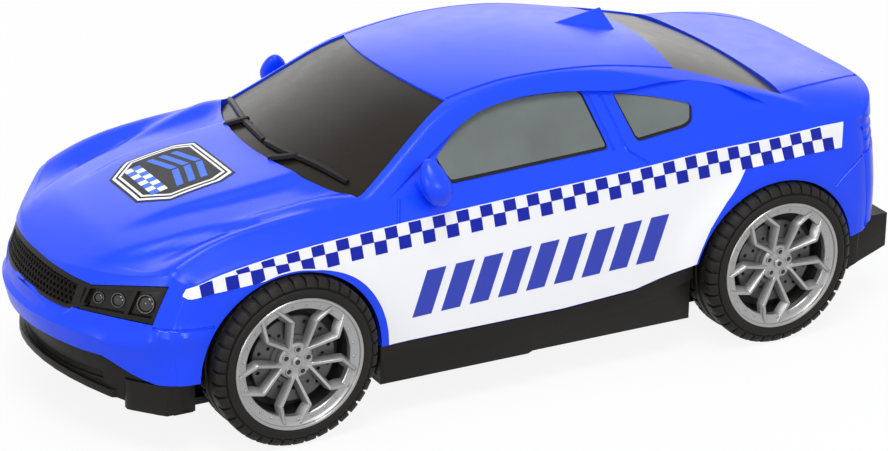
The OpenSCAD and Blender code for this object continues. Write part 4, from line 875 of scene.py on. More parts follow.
for x in (FRONT_X, REAR_X):
    turn = np.linspace(0, 2 * math.pi, 112, endpoint=False)
    circle = np.stack([x + ARCH_R * np.cos(turn), ARCH_Z + ARCH_R * np.sin(turn)], axis=1)
    cut_both_sides(body, "arch", circle, ARCH_IN)
carve(body, prism("screen_cut", screen_outline(screen_base, screen_top), SCREEN_LOW, OVERHEAD, 2),
      prism("rear_cut", screen_outline(rear_base, rear_top), REAR_LOW, OVERHEAD, 2))
print("body after the large cuts:", len(body.data.polygons), "faces")

# %% Window band and side openings
# Depth of the band, height over which it fades, room of its cutter, and the round of the openings' corners
BAND_DEEP, BAND_FADE, BAND_ROOM, PANE_ROUND = 1.8, 4, 6, 1.6
SKIM = 0.005
BOTH_SIDES = (np.array([1, 1, 1]), np.array([1, -1, 1]))


def band_edges(x):
    """Heights of the window band's lower and upper edge."""
    return [ROOF * curve(sorted(line), x / HALF_L) for line in (band_low, band_top)]


def band_depth(x, z):
    """How far the window band lies under the side there."""
    low, high = band_edges(x)
    return BAND_DEEP * np.clip((z - low) / np.maximum(high - low, 0.5), 0, 1) * ease((high - low) / BAND_FADE)


band_x = np.linspace(HALF_L * band_top[0][0], HALF_L * band_top[-1][0], 90)
low_z, high_z = band_edges(band_x)
band_z = low_z[None] + np.linspace(0, 1, 7)[:, None] * np.maximum(high_z - low_z, 0.02)[None]
band_at = np.broadcast_to(band_x, band_z.shape)
band_in = np.stack([band_at, side_y(band_at, band_z) - band_depth(band_at, band_z) - SKIM, band_z], axis=-1)
for flip in BOTH_SIDES:
    carve(body, slab("band_cut", band_in * flip, (band_in + [0, BAND_ROOM, 0]) * flip))
for shares in (door_window, quarter_window):
    cut_both_sides(body, "pane", rounded([(a * HALF_L, b * ROOF) for a, b in shares], PANE_ROUND), PANE_IN)
print("body after the cuts:", len(body.data.polygons), "faces")

# %% [markdown]
# ## Pockets, seams and small forms of the moulding
# On the real body the lamps and the grille sit in pockets, the doors, trunk and bumper are only drawn by
# thin grooves, and the tail lamps are shallow sunken fields. All of it belongs to one moulding, so it is
# cut into the body's mesh: a groove is a thin tube laid on the skin and subtracted, a pocket is a block.
# Where a line must follow the bowed skin, its points are found by shooting a ray at the skin.


# %% Pockets for lamps and grille
def smooth_line(points, steps):
    """A run of points through a few given ones, evenly spread."""
    points = np.asarray(points, float)
    run = length_along(points)
    at = np.linspace(0, run[-1], steps)
    return np.stack([curve(list(zip(run, points[:, a])), at) for a in range(points.shape[1])], axis=1)


SEAM_STEPS = 28


def trace(points, finder):
    """Points on the skin along a line that is drawn in one view."""
    return np.array([finder(a, b) for a, b in smooth_line(points, SEAM_STEPS)])


def nearest(points):
    """The same for points that are known in space."""
    return np.array([skin_tree.find_nearest(Vector(p))[0] for p in smooth_line(points, SEAM_STEPS)])


# Corners of the left lamp's field; how far its cutter stands out and how deep it goes
LAMP = np.array([(115.2, 24.9, 44.5), (118.9, 24.9, 38.5), (104.2, 41.6, 37.6), (99.6, 42.3, 47.6)])
LAMP_OUT, LAMP_DEEP, LAMP_PROBE = 9, 6, 12
LAMP_FACING = np.cross(LAMP[2] - LAMP[0], LAMP[1] - LAMP[3])
LAMP_FACING *= np.sign(LAMP_FACING[0]) / np.linalg.norm(LAMP_FACING)


def lamp_point(u, v, lift):
    """A point over the lamp's field: u runs outwards, v downwards."""
    flat = (1 - u) * ((1 - v) * LAMP[0] + v * LAMP[1]) + u * ((1 - v) * LAMP[3] + v * LAMP[2])
    hit = skin_tree.ray_cast(Vector(flat + LAMP_PROBE * LAMP_FACING), Vector(-LAMP_FACING))[0]
    return np.array(hit if hit else flat) + lift * LAMP_FACING


def lamp_grid(u, v, lift):
    return np.array([[lamp_point(a, b, lift) for a in u] for b in v])


lamp_field = np.array([[LAMP[0], LAMP[3]], [LAMP[1], LAMP[2]]])
lamp_cut = slab("lamp_cut", lamp_field + LAMP_OUT * LAMP_FACING, lamp_field - LAMP_DEEP * LAMP_FACING)
GRILLE = [(-25.1, 44.5), (-16, 45.0), (0, 45.3), (16, 45.0), (25.1, 44.5), (25.1, 38.6), (21.8, 37.2),
          (19.5, 36.7), (0, 36.7), (-19.5, 36.7), (-21.8, 37.2), (-25.1, 38.6)]
GRILLE_BACK, GRILLE_FRONT = 104, 140
grille_cut = prism("grille_cut", GRILLE, GRILLE_BACK, GRILLE_FRONT, 0)
carve(body, lamp_cut, mirrored(lamp_cut, "other_cut"), grille_cut)
print("body with pockets:", len(body.data.polygons), "faces")

# %% Chamfers under the grille
chamfer_line = [(0.5, 37.35), (10, 36.0), (18.6, 34.0), (22.3, 37.35)]
# Upper edge, depth there, height from which the depth fades, room of the cutter and wall behind it
CHAMFER_TOP, CHAMFER_DEEP, CHAMFER_FADE, CHAMFER_ROOM, CHAMFER_WALL, OVERLAP = 37.6, 1.1, 37.4, 7, 1.4, 0.01
chamfer_y = np.linspace(chamfer_line[0][0], chamfer_line[-1][0], 30)
chamfer_low = np.interp(chamfer_y, *np.array(chamfer_line).T)
rows = np.linspace(0, 1, 5)[:, None]
chamfer_z = chamfer_low[None] + rows * (CHAMFER_TOP - chamfer_low)[None]
deep = CHAMFER_DEEP * rows * ease((CHAMFER_FADE - chamfer_low) / 2)[None]
chamfer_in = np.array([[on_front(y, z) - [d, 0, 0] for y, z, d in zip(chamfer_y, *levels)]
                       for levels in zip(chamfer_z, deep)])
for flip in BOTH_SIDES:
    carve(body, slab("chamfer", chamfer_in * flip, (chamfer_in + [CHAMFER_ROOM, 0, 0]) * flip))
    back = slab("chamfer_back", (chamfer_in - [OVERLAP, 0, 0]) * flip,
                (chamfer_in - [CHAMFER_WALL, 0, 0]) * flip)
    carve(body, back, operation="UNION")
print("body with chamfers:", len(body.data.polygons), "faces")

# %% Seams
SEAM_R = 0.5
SEAMS = [
    trace([(37.6, 54.9), (36.0, 60.0)], on_side), trace([(-107.0, 48.5), (-97.3, 41.6)], on_side),
    nearest([(104.6, 41.9, 36.9), (101.5, 44.6, 36.7), (97, 45.7, 36.3), (89.4, 46, 35.9)]),
    trace([(-84.2, 37.4), (-99, 33.6), (-112, 28.4), (-119, 24.6)], on_top),
    trace([(15.2, 28.9), (-1, 28.8), (-15.5, 29.4), (-34, 29.2), (-54.5, 29.0)], on_top)]
pillar = smooth_line([(-28.2, 76.2), (-29, 73.4), (-30.3, 68), (-31.6, 62.7), (-37, 58.4)], 30)
door_end = smooth_line([(-24.6, 76.8), (-26.3, 69.4), (-27.9, 62.6)], 20)
for line in (pillar, door_end):
    SEAMS.append(np.stack([line[:, 0], side_y(*line.T) - band_depth(*line.T), line[:, 1]], axis=1))
for line in SEAMS:
    for flip in BOTH_SIDES:
        carve(body, tube("seam", line * flip, SEAM_R, sides=8))
print(2 * len(SEAMS), "seams cut")

# %% [markdown]
# The tail lamps wrap round the rear corner, so no straight view shows the whole field. Rays are shot from a
# path that walks round the corner, each aimed inwards, and the points they hit are pushed in a little: that
# gives the floor of the field. Two ribs stay standing in it. The roof fin is the hull of a few points,
# joined to the roof.

# %% Tail lamps
tail_edge = [(48.6, -107.4), (52.8, -107.9), (56.9, -105.8), (57.9, -104.6), (60.0, -103.9)]
# Depth of the field, room of its cutter, wall behind it; radius and depth of a rib
FIELD_DEEP, FIELD_ROOM, FIELD_WALL, RIB_R, RIB_DEEP = 0.7, 4.0, 1.6, 0.5, 0.62
# Height of each rib in the field, and from where to where it runs
RIBS = ((0.36, (0.03, 0.9)), (0.68, (0.03, 0.97)))


def round_tail(c, t):
    """A point on the rear corner: c runs from the lamp's side edge to its inner end, t from low to high."""
    low, high = (np.interp(c, [0, 0.5, 1], heights) for heights in ([48.8, 49.4, 51.5], [59.6, 58.6, 57.4]))
    z = (1 - t) * low + t * high
    x = np.interp(z, *np.array(tail_edge).T)
    turn = [0, 0.45, 1]
    start = np.array([np.interp(c, turn, [x, -135, -140]), np.interp(c, turn, [62, 60, 25]), z])
    aim = np.array([np.interp(c, turn, [x, -106, -108]), np.interp(c, turn, [30, 34, 25]), z])
    way = (aim - start) / np.linalg.norm(aim - start)
    return np.array(skin_tree.ray_cast(Vector(start), Vector(way))[0]), way


hits = [[round_tail(c, t) for c in np.linspace(0, 1, 34)] for t in np.linspace(0, 1, 12)]
field, way = (np.array([[hit[k] for hit in row] for row in hits]) for k in (0, 1))
field_in = field + FIELD_DEEP * way
for flip in BOTH_SIDES:
    carve(body, slab("tail_field", field_in * flip, (field - FIELD_ROOM * way) * flip))
    floor = slab("tail_floor", (field_in + way * OVERLAP) * flip, (field_in + way * FIELD_WALL) * flip)
    carve(body, floor, operation="UNION")
    for t, span in RIBS:
        rib = np.array([h + RIB_DEEP * w for h, w in (round_tail(c, t) for c in np.linspace(*span, 30))])
        carve(body, tube("rib", rib * flip, RIB_R, sides=8), operation="UNION")
print("body with tail lamps:", len(body.data.polygons), "faces")


# %% Roof fin
def hull(name, points):
    """The smallest closed shape round a few points."""
    obj = add_mesh(name, points, [])
    bm = bmesh.new()
    bm.from_mesh(obj.data)
    bmesh.ops.convex_hull(bm, input=bm.verts)
    bm.to_mesh(obj.data)
    bm.free()
    return outward(obj)


fin = hull("fin", [(-32.6, 0, 84.2), (-48.3, 0, 86.7), (-50, 5.2, 81.6), (-50, -5.2, 81.6), (-50, 4.8, 80),
                   (-50, -4.8, 80), (-34, 0, 82)])
carve(body, round_edges(fin, 0.25), operation="UNION")
hand_over(body, "body_shell")
print("finished body:", len(body.data.polygons), "faces")

# %% [markdown]
# ## Windows
# The toy's windows are opaque smoked plastic set a little under the edge of the openings: nearly black at
# the front and the back, grey at the sides. Real glass would show an empty inside, so the panes are closed
# slabs with a smooth dark finish. Round the side panes the gap in the opening is dark; a second, slightly
# larger black slab behind each pane fills it: painted shade.


# %% Filling an outline
def filled(outline, columns, rows):
    """A grid of places that fills a drawn outline, column by column."""
    outline = np.asarray(outline, float)
    grid = np.zeros((rows, columns, 2))
    reach = outline[:, 0].max() - outline[:, 0].min()
    t = 0.5 * (1 - np.cos(math.pi * np.linspace(0.004, 0.996, columns)))
    for c, a in enumerate(outline[:, 0].min() + reach * t):
        found = [p[1] + (q[1] - p[1]) * (a - p[0]) / (q[0] - p[0])
                 for p, q in zip(outline, np.roll(outline, -1, axis=0)) if (p[0] - a) * (q[0] - a) < 0]
        grid[:, c, 0] = a
        grid[:, c, 1] = np.linspace(min(found), max(found), rows)
    return grid


def shrunk(outline, by):
    """The outline with its edges moved in."""
    outline = np.asarray(outline, float)
    middle = (outline.max(axis=0) + outline.min(axis=0)) / 2
    size = outline.max(axis=0) - outline.min(axis=0)
    return middle + (outline - middle) * (1 - 2 * by / size)


print("outline helpers ready")

# %% Windscreen, rear window and side panes
# How far the screens lie under their edges, thickness of screens and side panes, round of the side panes
SINK, SCREEN_T, SIDE_T, SIDE_ROUND = 0.55, 1.4, 0.9, 0.9
for name, base, top, glass in (("windscreen", screen_base, screen_top, screen_glass),
                               ("rear_window", rear_base, rear_top, rear_glass)):
    k, r = np.linspace(-1, 1, 45), np.linspace(0, 1, 17)[:, None, None]
    plan = bowed(base, k)[None] * (1 - r) + bowed(top, k)[None] * r
    front = np.concatenate([plan, (cabin_z(plan[..., 0], plan[..., 1]) - SINK)[..., None]], axis=-1)
    hand_over(slab(name + "_pane", front, front - [0, 0, SCREEN_T], glass), name)
# Edge taken off, sink, rise and material of the black slab, painted shade of the gap round the pane, and of
# the pane before it
PANE_LAYERS = ((0.02, 0.5, 0, black), (0.6, 0.42, 0.25, side_glass))


def side_pane(name, shares, node):
    outline = rounded([(a * HALF_L, b * ROOF) for a, b in shares], SIDE_ROUND)
    layers = []
    for by, sink, up, material in PANE_LAYERS:
        drawn = filled(shrunk(outline, by) + [0, up], 40, 14)
        x, z = drawn[..., 0], drawn[..., 1]
        front = np.stack([x, side_y(x, z) - band_depth(x, z) - sink, z], axis=-1)
        layers.append(slab(name, front, front - [0, SIDE_T, 0], material))
    hand_over_both(join(name + "_left", *layers), node)


side_pane("door_pane", door_window, "door_window")
side_pane("quarter_pane", quarter_window, "quarter_window")
print("six panes in place")

# %% [markdown]
# ## Wipers
# The two wipers are moulded black bars that lie on the windscreen: a long blade with a knee and a short arm
# from the cowl. A tube with few sides along a bent path is all they need, pushed up from the pane by their
# thickness.

# %% Wipers
# Path on the windscreen, radius and lift of each blade and arm
WIPERS = [
    ([(54.4, 2.6), (53.1, 11.5), (50, 22), (46.3, 34.2)], 0.95, 0.6),
    ([(57.2, 10.2), (54.5, 13.6), (51.7, 16.4)], 0.9, 1.0),
    ([(45.2, -39.6), (49.5, -26), (52.6, -13.8), (54.4, 1.4)], 0.95, 0.6),
    ([(56.2, -19.2), (54.4, -16.6), (52.0, -12.9)], 0.9, 1.0)]
WIPER_STEPS = 26


def on_screen(x, y, lift):
    return np.array([x, y, float(cabin_z(np.array(x), np.array(y))) - SINK + lift])


blades = []
for points, thick, lift in WIPERS:
    run = np.array([on_screen(x, y, lift) for x, y in smooth_line(points, WIPER_STEPS)])
    taper = np.interp(np.linspace(0, 1, WIPER_STEPS), [0, 0.06, 0.9, 1], [0.7, 1, 1, 0.75])
    blades.append(tube("blade", run, thick * taper, black))
hand_over(join("wiper_set", *blades), "wipers", angle=40)
print("wipers on the screen")

# %% [markdown]
# ## Repeating pieces with Geometry Nodes
# Tread blocks, rivets, spokes and grille cells repeat. Copying them by hand would work once, but a node
# group with named inputs can be used again with other numbers. The first group sets points on a circle and
# puts one piece on each, turned outwards. The second puts a piece on every point of a mesh, facing the way
# the point's own attribute says. Both end by making the copies real and giving them one material.


# %% Start and end of a node group
def new_group(name, inputs):
    tree = bpy.data.node_groups.new(name, "GeometryNodeTree")
    named = {}
    for label, kind in inputs:
        socket = tree.interface.new_socket(label, in_out="INPUT", socket_type="NodeSocket" + kind)
        named[label] = socket.identifier
    tree.interface.new_socket("Geometry", in_out="OUTPUT", socket_type="NodeSocketGeometry")
    return tree, named


def finish_group(tree, start, points, rotation):
    """The shared end of both groups: copies on points, made real, with a material."""
    nodes, links = tree.nodes, tree.links
    info = nodes.new("GeometryNodeObjectInfo")
    links.new(start.outputs["Piece"], info.inputs["Object"])
    copies = nodes.new("GeometryNodeInstanceOnPoints")
    links.new(points, copies.inputs["Points"])
    links.new(info.outputs["Geometry"], copies.inputs["Instance"])
    links.new(rotation, copies.inputs["Rotation"])
    real = nodes.new("GeometryNodeRealizeInstances")
    links.new(copies.outputs["Instances"], real.inputs["Geometry"])
    paint = nodes.new("GeometryNodeSetMaterial")
    links.new(real.outputs["Geometry"], paint.inputs["Geometry"])
    links.new(start.outputs["Finish"], paint.inputs["Material"])
    links.new(paint.outputs["Geometry"], nodes.new("NodeGroupOutput").inputs["Geometry"])


print("shared nodes ready")


# %% Ring of pieces
def ring_group():
    tree, named = new_group("Ring of pieces", [
        ("Count", "Int"), ("Radius", "Float"), ("Height", "Float"), ("Turn", "Float"), ("Piece", "Object"),
        ("Finish", "Material")])
    nodes, links = tree.nodes, tree.links

    def math_node(operation, a, b=None):
        node = nodes.new("ShaderNodeMath")
        node.operation = operation
        for k, value in enumerate((a, b)):
            if isinstance(value, (int, float)):
                node.inputs[k].default_value = value
            elif value is not None:
                links.new(value, node.inputs[k])
        return node.outputs[0]

    start = nodes.new("NodeGroupInput")
    points = nodes.new("GeometryNodePoints")
    links.new(start.outputs["Count"], points.inputs["Count"])
    share = math_node("DIVIDE", nodes.new("GeometryNodeInputIndex").outputs[0], start.outputs["Count"])
    angle = math_node("ADD", math_node("MULTIPLY", share, 2 * math.pi), start.outputs["Turn"])
    place = nodes.new("ShaderNodeCombineXYZ")
    links.new(math_node("MULTIPLY", math_node("COSINE", angle), start.outputs["Radius"]), place.inputs["X"])
    links.new(math_node("MULTIPLY", math_node("SINE", angle), start.outputs["Radius"]), place.inputs["Y"])
    links.new(start.outputs["Height"], place.inputs["Z"])
    links.new(place.outputs["Vector"], points.inputs["Position"])
    spin = nodes.new("FunctionNodeAxisAngleToRotation")
    spin.inputs["Axis"].default_value = (0, 0, 1)
    links.new(angle, spin.inputs["Angle"])
    finish_group(tree, start, points.outputs[0], spin.outputs["Rotation"])
    return tree, named


RING = ring_group()
print(RING[0].name, "takes", list(RING[1]))


# %% Pieces on points
def field_group():
    tree, named = new_group("Pieces on points", [
        ("Geometry", "Geometry"), ("Piece", "Object"), ("Finish", "Material")])
    nodes, links = tree.nodes, tree.links
    start = nodes.new("NodeGroupInput")
    facing = nodes.new("GeometryNodeInputNamedAttribute")
    facing.data_type = "FLOAT_VECTOR"
    facing.inputs["Name"].default_value = "facing"
    out = nodes.new("FunctionNodeAlignRotationToVector")
    upright = nodes.new("FunctionNodeAlignRotationToVector")
    out.axis, upright.axis, upright.pivot_axis = "Z", "Y", "Z"
    links.new(facing.outputs["Attribute"], out.inputs["Vector"])
    upright.inputs["Vector"].default_value = (0, 0, 1)
    links.new(out.outputs["Rotation"], upright.inputs["Rotation"])
    finish_group(tree, start, start.outputs["Geometry"], upright.outputs["Rotation"])
    return tree, named


FIELD = field_group()


def with_group(obj, group, **values):
    step = obj.modifiers.new("Pieces", "NODES")
    step.node_group = group[0]
    for label, value in values.items():
        step[group[1][label]] = value
    return settle(obj)


def ring_of(name, piece, count, material, radius=0.0, height=0.0, turn=0.0):
    """Copies of a piece on a circle round the Z axis; lengths in millimetres, the turn in degrees."""
    obj = add_mesh(name, np.zeros((0, 3)), [])
    with_group(obj, RING, Count=count, Radius=radius * MM, Height=height * MM, Turn=math.radians(turn),
               Piece=piece, Finish=material)
    remove(piece)
    return obj


print(FIELD[0].name, "takes", list(FIELD[1]))

# %% [markdown]
# ## Grille
# The grille is one dark moulding with a smooth frame and a mesh of six-sided cells. The frame's strips
# follow the bow of the nose; every cell is a small six-sided ring set on a point of the nose by the second
# node group. A plate behind the cells closes the view into the body.


# %% Grille frame
def nose_strip(name, corners, sink, thick, material, columns=40, rows=4):
    """A strip on the nose between a lower and an upper line, each a table of width and height."""
    low, high = (np.array(line, float) for line in corners)
    y = np.linspace(low[0, 0], low[-1, 0], columns)
    bottom, top = np.interp(y, *low.T), np.interp(y, *high.T)
    front = np.array([[on_front(a, (1 - t) * b + t * c) - [sink, 0, 0] for a, b, c in zip(y, bottom, top)]
                      for t in np.linspace(0, 1, rows)])
    return slab(name, front, front - [thick, 0, 0], material)


grille_low = [(-24.9, 38.8), (-21.7, 37.3), (-19.5, 36.8), (19.5, 36.8), (21.7, 37.3), (24.9, 38.8)]
grille_high = [(-24.9, 44.4), (-16, 44.9), (0, 45.2), (16, 44.9), (24.9, 44.4)]
inner_low = [(-24.9, 39.6), (-21, 38.2), (-19.2, 37.7), (19.2, 37.7), (21, 38.2), (24.9, 39.6)]
inner_high = [(-24.9, 43.1), (-16, 43.6), (0, 43.9), (16, 43.6), (24.9, 43.1)]
grille = [nose_strip("plate", (grille_low, grille_high), 1.5, 0.9, gloss_black, 60),
          nose_strip("bottom", (grille_low, inner_low), 0.35, 1.5, black, 60),
          nose_strip("top", (inner_high, grille_high), 0.3, 1.5, black, 60)]
for side in (1, -1):
    end_low = [(side * 21.2, 38.2), (side * 23.5, 39.1)]
    end_high = [(side * 21.2, 43.2), (side * 23.5, 43.1)]
    grille.append(nose_strip("end", (end_low, end_high), 0.4, 1.4, black, 6))
print(len(grille), "strips of the grille")

# %% Grille cells
PITCH, WEB = 1.62, 0.2
# Bevel and height of a cell's face, taper and depth of its hole, and how far it sits behind the skin
CELL_BEVEL, CELL_FACE, CELL_TAPER, CELL_DEEP, CELL_SINK = 0.06, 0.12, 0.1, 0.75, 0.75
# Lowest and highest row, half the width, cells from the middle to the end and overlap with the frame
CELLS_LOW, CELLS_HIGH, CELLS_WIDE, CELLS_HALF, CELLS_OVER = 37.9, 44.2, 21.4, 13, 0.5
NUDGE = 0.01  # keeps the rays for the middle cells off the edge that two faces of the nose share
cell_r = PITCH / math.sqrt(3)
turn = math.radians(30) + np.arange(6) * math.pi / 3
ring6 = np.stack([np.cos(turn), np.sin(turn)], axis=1)
levels = [(cell_r, 0), (cell_r - CELL_BEVEL, CELL_FACE), (cell_r - WEB, CELL_FACE),
          (cell_r - WEB - CELL_TAPER, -CELL_DEEP), (cell_r, -CELL_DEEP)]
cell_faces = []
for k in range(6):
    for level in range(5):
        a, b = level * 6, (level + 1) % 5 * 6
        cell_faces.append((a + k, a + (k + 1) % 6, b + (k + 1) % 6, b + k))
cell_points = np.concatenate([np.insert(ring6 * r, 2, z, axis=1) for r, z in levels])
cell = outward(add_mesh("cell", cell_points, cell_faces))
spots, ways = [], []
for r, z in enumerate(np.arange(CELLS_LOW, CELLS_HIGH, 1.5 * cell_r)):
    for y in np.arange(-CELLS_HALF, CELLS_HALF + 1) * PITCH + (r % 2) * PITCH / 2:
        low, high = (np.interp(y, *np.array(line).T) for line in (inner_low, inner_high))
        if low - CELLS_OVER < z < high + CELLS_OVER and abs(y) < CELLS_WIDE:
            spots.append(on_front(y, z) - [CELL_SINK, 0, 0])
            ways.append(on_front(y + NUDGE, z, 1) - on_front(y + NUDGE, z))
mesh_points = add_mesh("grille_mesh", spots, [])
facing = mesh_points.data.attributes.new("facing", "FLOAT_VECTOR", "POINT")
facing.data.foreach_set("vector", np.array(ways).ravel())
with_group(mesh_points, FIELD, Piece=cell, Finish=black)
remove(cell)
hand_over(join("nose_grille", *grille, mesh_points), "grille", angle=40)
print(len(spots), "grille cells")

# %% [markdown]
# ## Headlamps
# Each lamp is a block of glossy black plastic with a rim, a bar and three round lenses of growing size. The
# field is bowed with the nose, so its frame, floor and bar are thin slabs on a grid of ray hits. A lens is
# a spun dome with a ring round it, turned to face the way the lamp faces.


# %% Headlamps
def turned(obj, place, way):
    """Moves a piece made round the Z axis to a place in millimetres, facing a way."""
    frame = Vector(way).to_track_quat("Z", "Y").to_matrix().to_4x4()
    frame.translation = Vector(place) * MM
    obj.data.transform(frame)
    return obj


def strip(u0, u1, v0, v1, sink, thick, material, steps):
    """A slab on the lamp's field, from share to share across and down."""
    u, v = np.linspace(u0, u1, steps[0]), np.linspace(v0, v1, steps[1])
    return slab("strip", lamp_grid(u, v, -sink), lamp_grid(u, v, -sink - thick), material)


# Gap round the block and width of its rim, as shares of the field; depths and thicknesses
GAP_U, GAP_V, RIM_U, RIM_V = 0.012, 0.024, 0.055, 0.15
FLOOR_SINK, FLOOR_T, RIM_SINK, RIM_T, BAR_SINK, BAR_T = 1.7, 1.3, 0.35, 1.6, 0.6, 1.4
BAR_FROM, BAR_TO = 0.6, 0.65
RIM_SIDES = [(GAP_U, 1 - GAP_U, GAP_V, RIM_V, (20, 3)), (GAP_U, 1 - GAP_U, 1 - RIM_V, 1 - GAP_V, (20, 3)),
             (GAP_U, RIM_U, RIM_V, 1 - RIM_V, (3, 6)), (1 - RIM_U, 1 - GAP_U, RIM_V, 1 - RIM_V, (3, 6))]
# Place in the field and radius of each lens
LENSES = ((0.2, 0.47, 1.55), (0.45, 0.48, 1.95), (0.8, 0.5, 2.5))
lamp = [strip(GAP_U, 1 - GAP_U, GAP_V, 1 - GAP_V, FLOOR_SINK, FLOOR_T, gloss_black, (20, 10))]
lamp += [strip(*field, RIM_SINK, RIM_T, black, steps) for *field, steps in RIM_SIDES]
lamp.append(strip(BAR_FROM, BAR_TO, RIM_V, 1 - RIM_V, BAR_SINK, BAR_T, black, (3, 6)))
for u, v, r in LENSES:
    dome = [(0.02, 0.75), (0.35 * r, 0.68), (0.6 * r, 0.48), (0.78 * r, 0.15), (0.8 * r, -0.3), (0.02, -0.3)]
    collar = [(0.8 * r, 0.25), (0.85 * r, 0.55), (0.95 * r, 0.55), (r, 0.3), (r, -0.3), (0.8 * r, -0.3)]
    spot = lamp_point(u, v, -FLOOR_SINK)
    for name, profile, material in (("lens", dome, lens_dark), ("collar", collar, gloss_black)):
        lamp.append(turned(lathe(name, profile, material, steps=40), spot, LAMP_FACING))
hand_over_both(join("lamp_left", *lamp), "headlight", angle=40)
print("two lamps of", len(LENSES), "lenses")

# %% [markdown]
# ## Door mirrors
# A mirror is a blue drop that hangs from the front corner of the side window. It is a ball whose points are
# moved: the upper half narrows and leans in towards the pillar, the back is pressed flat where the glass
# would be.

# %% Mirrors
BALL_ROWS, BALL_COLUMNS, POLE = 22, 36, 0.04
# Half the length, width and height of the drop, and its place
DROP, DROP_AT = (4.3, 3.6, 6.2), (27.6, 47.6, 64.3)
# How the upper half narrows, leans forward and in, and where the back is flat
NARROW, FORWARD, INWARD, FLAT_BACK = 0.25, 1.2, 2.6, -0.75
lat = np.linspace(POLE - math.pi / 2, math.pi / 2 - POLE, BALL_ROWS)[:, None]
lon = np.arange(BALL_COLUMNS) * 2 * math.pi / BALL_COLUMNS
ball_x, ball_y, ball_z = np.cos(lat) * np.cos(lon), np.cos(lat) * np.sin(lon), np.sin(lat) + 0 * lon
rise = np.maximum(ball_z, 0)
narrow = 1 - NARROW * rise
drop = np.stack([np.maximum(ball_x, FLAT_BACK) * DROP[0] * narrow + FORWARD * ball_z,
                 ball_y * DROP[1] * narrow - INWARD * rise ** 1.3, ball_z * DROP[2]], axis=-1) + DROP_AT
last = (BALL_ROWS - 1) * BALL_COLUMNS
caps = [tuple(range(BALL_COLUMNS)), tuple(range(last + BALL_COLUMNS - 1, last - 1, -1))]
drop_faces = grid_faces(BALL_ROWS, BALL_COLUMNS, wrap=True) + caps
shell = outward(add_mesh("door_mirror_left", drop.reshape(-1, 3), drop_faces, blue))
foot_path = [(27.4, 46.5, 61.6), (28, 43.5, 61.6), (28.4, 40.8, 61.8)]
carve(shell, tube("foot", foot_path, [2.4, 2.0, 2.3], blue, sides=16), operation="UNION")
hand_over_both(shell, "mirror", angle=50)
print("mirrors hung")

# %% [markdown]
# ## Stickers
# Each side carries one large vinyl sticker: a white panel on the door, with a row of slanted navy bars,
# under a stripe with two rows of navy checks. A picture texture could carry it, but then the edges would
# blur; here the vinyl is a thin slab on the skin, and every check and bar is a still thinner slab on top.

# %% Outline of a side sticker
stripe_low = np.array([(-99.5, 52.5), (-87.4, 52.6), (-67, 51.74), (-46, 51.0), (-25.6, 50.1), (-5, 49.2),
                       (9.3, 48.7), (23, 48.1), (36.9, 47.5), (50.7, 46.9), (61, 46.3), (67.9, 45.9),
                       (75, 45.87), (82, 45.45), (89.4, 45.0), (95, 44.4), (96.8, 44.6), (97.3, 45.3)])
stripe_tip = [(88, 60), (94.2, 48.0), (96.5, 46.9), (97.3, 45.6)]
panel_rear = np.array([(-67.6, 51.75), (-65.9, 48.75), (-63.7, 45.7), (-61.6, 43.3), (-59.5, 40.4),
                       (-57, 36.6), (-55.1, 32.3), (-53.2, 26.9)])
# Room to the arches, the crease and the sill; the panel's room grows towards the foot of the front arch
STRIPE_ROOM, PANEL_ROOM, CREASE_ROOM, SILL_ROOM = 0.5, 0.6, 0.35, 0.15
EXTRA_ROOM, EXTRA_FROM, EXTRA_RUN = 1.5, 4, 18


def arch_over(x, lip):
    """Lowest height that stays clear of both wheel arches by a lip."""
    high = np.zeros_like(x)
    for centre in (FRONT_X, REAR_X):
        high = np.maximum(high, ARCH_Z + np.sqrt(np.maximum((ARCH_R + lip) ** 2 - (x - centre) ** 2, 0))
                          * (np.abs(x - centre) < ARCH_R + lip))
    return high


def stripe_bottom(x):
    return np.maximum(np.interp(x, *stripe_low.T), arch_over(x, STRIPE_ROOM))


def stripe_top(x):
    return np.minimum(crease_z(x) - CREASE_ROOM, np.interp(x, *np.array(stripe_tip).T))


def sticker_low(x):
    """Lower edge of the stripe and the panel together."""
    front_room = PANEL_ROOM + EXTRA_ROOM * ease((FRONT_X - EXTRA_FROM - x) / EXTRA_RUN)
    panel = np.maximum(sill_z(x) + SILL_ROOM, arch_over(x, np.where(x > 0, front_room, PANEL_ROOM)))
    panel = np.maximum(panel, np.where(x < panel_rear[-1, 0], np.interp(x, *panel_rear.T), 0))
    inside = (x > panel_rear[0, 0]) & (x < FRONT_X)
    return np.where(inside, np.minimum(stripe_bottom(x), panel), stripe_bottom(x))


print("stripe at the door, mm:", float((stripe_top(0.0) - np.interp(0.0, *stripe_low.T)).round(2)))


# %% Side stickers
# Lift and thickness of the vinyl and of the prints on it
SHEET_LIFT, SHEET_T, PRINT_LIFT, PRINT_T = 0.12, 0.2, 0.19, 0.12
STICKER_TAIL, STICKER_FRONT = -99.3, 97.25


def vinyl(name, x, low, high, rows, lift, thick, material, lean=0.0):
    """A thin slab on the left side between two heights; lean slants its columns."""
    t = np.linspace(0, 1, rows)[:, None]
    z = low[None] + t * (high - low)[None]
    at = x[None] + lean * t
    outer = np.array([[on_side(a, b, lift) for a, b in zip(*pair)] for pair in zip(at, z)])
    under = np.array([[on_side(a, b, lift - thick) for a, b in zip(*pair)] for pair in zip(at, z)])
    return slab(name, outer, under, material)


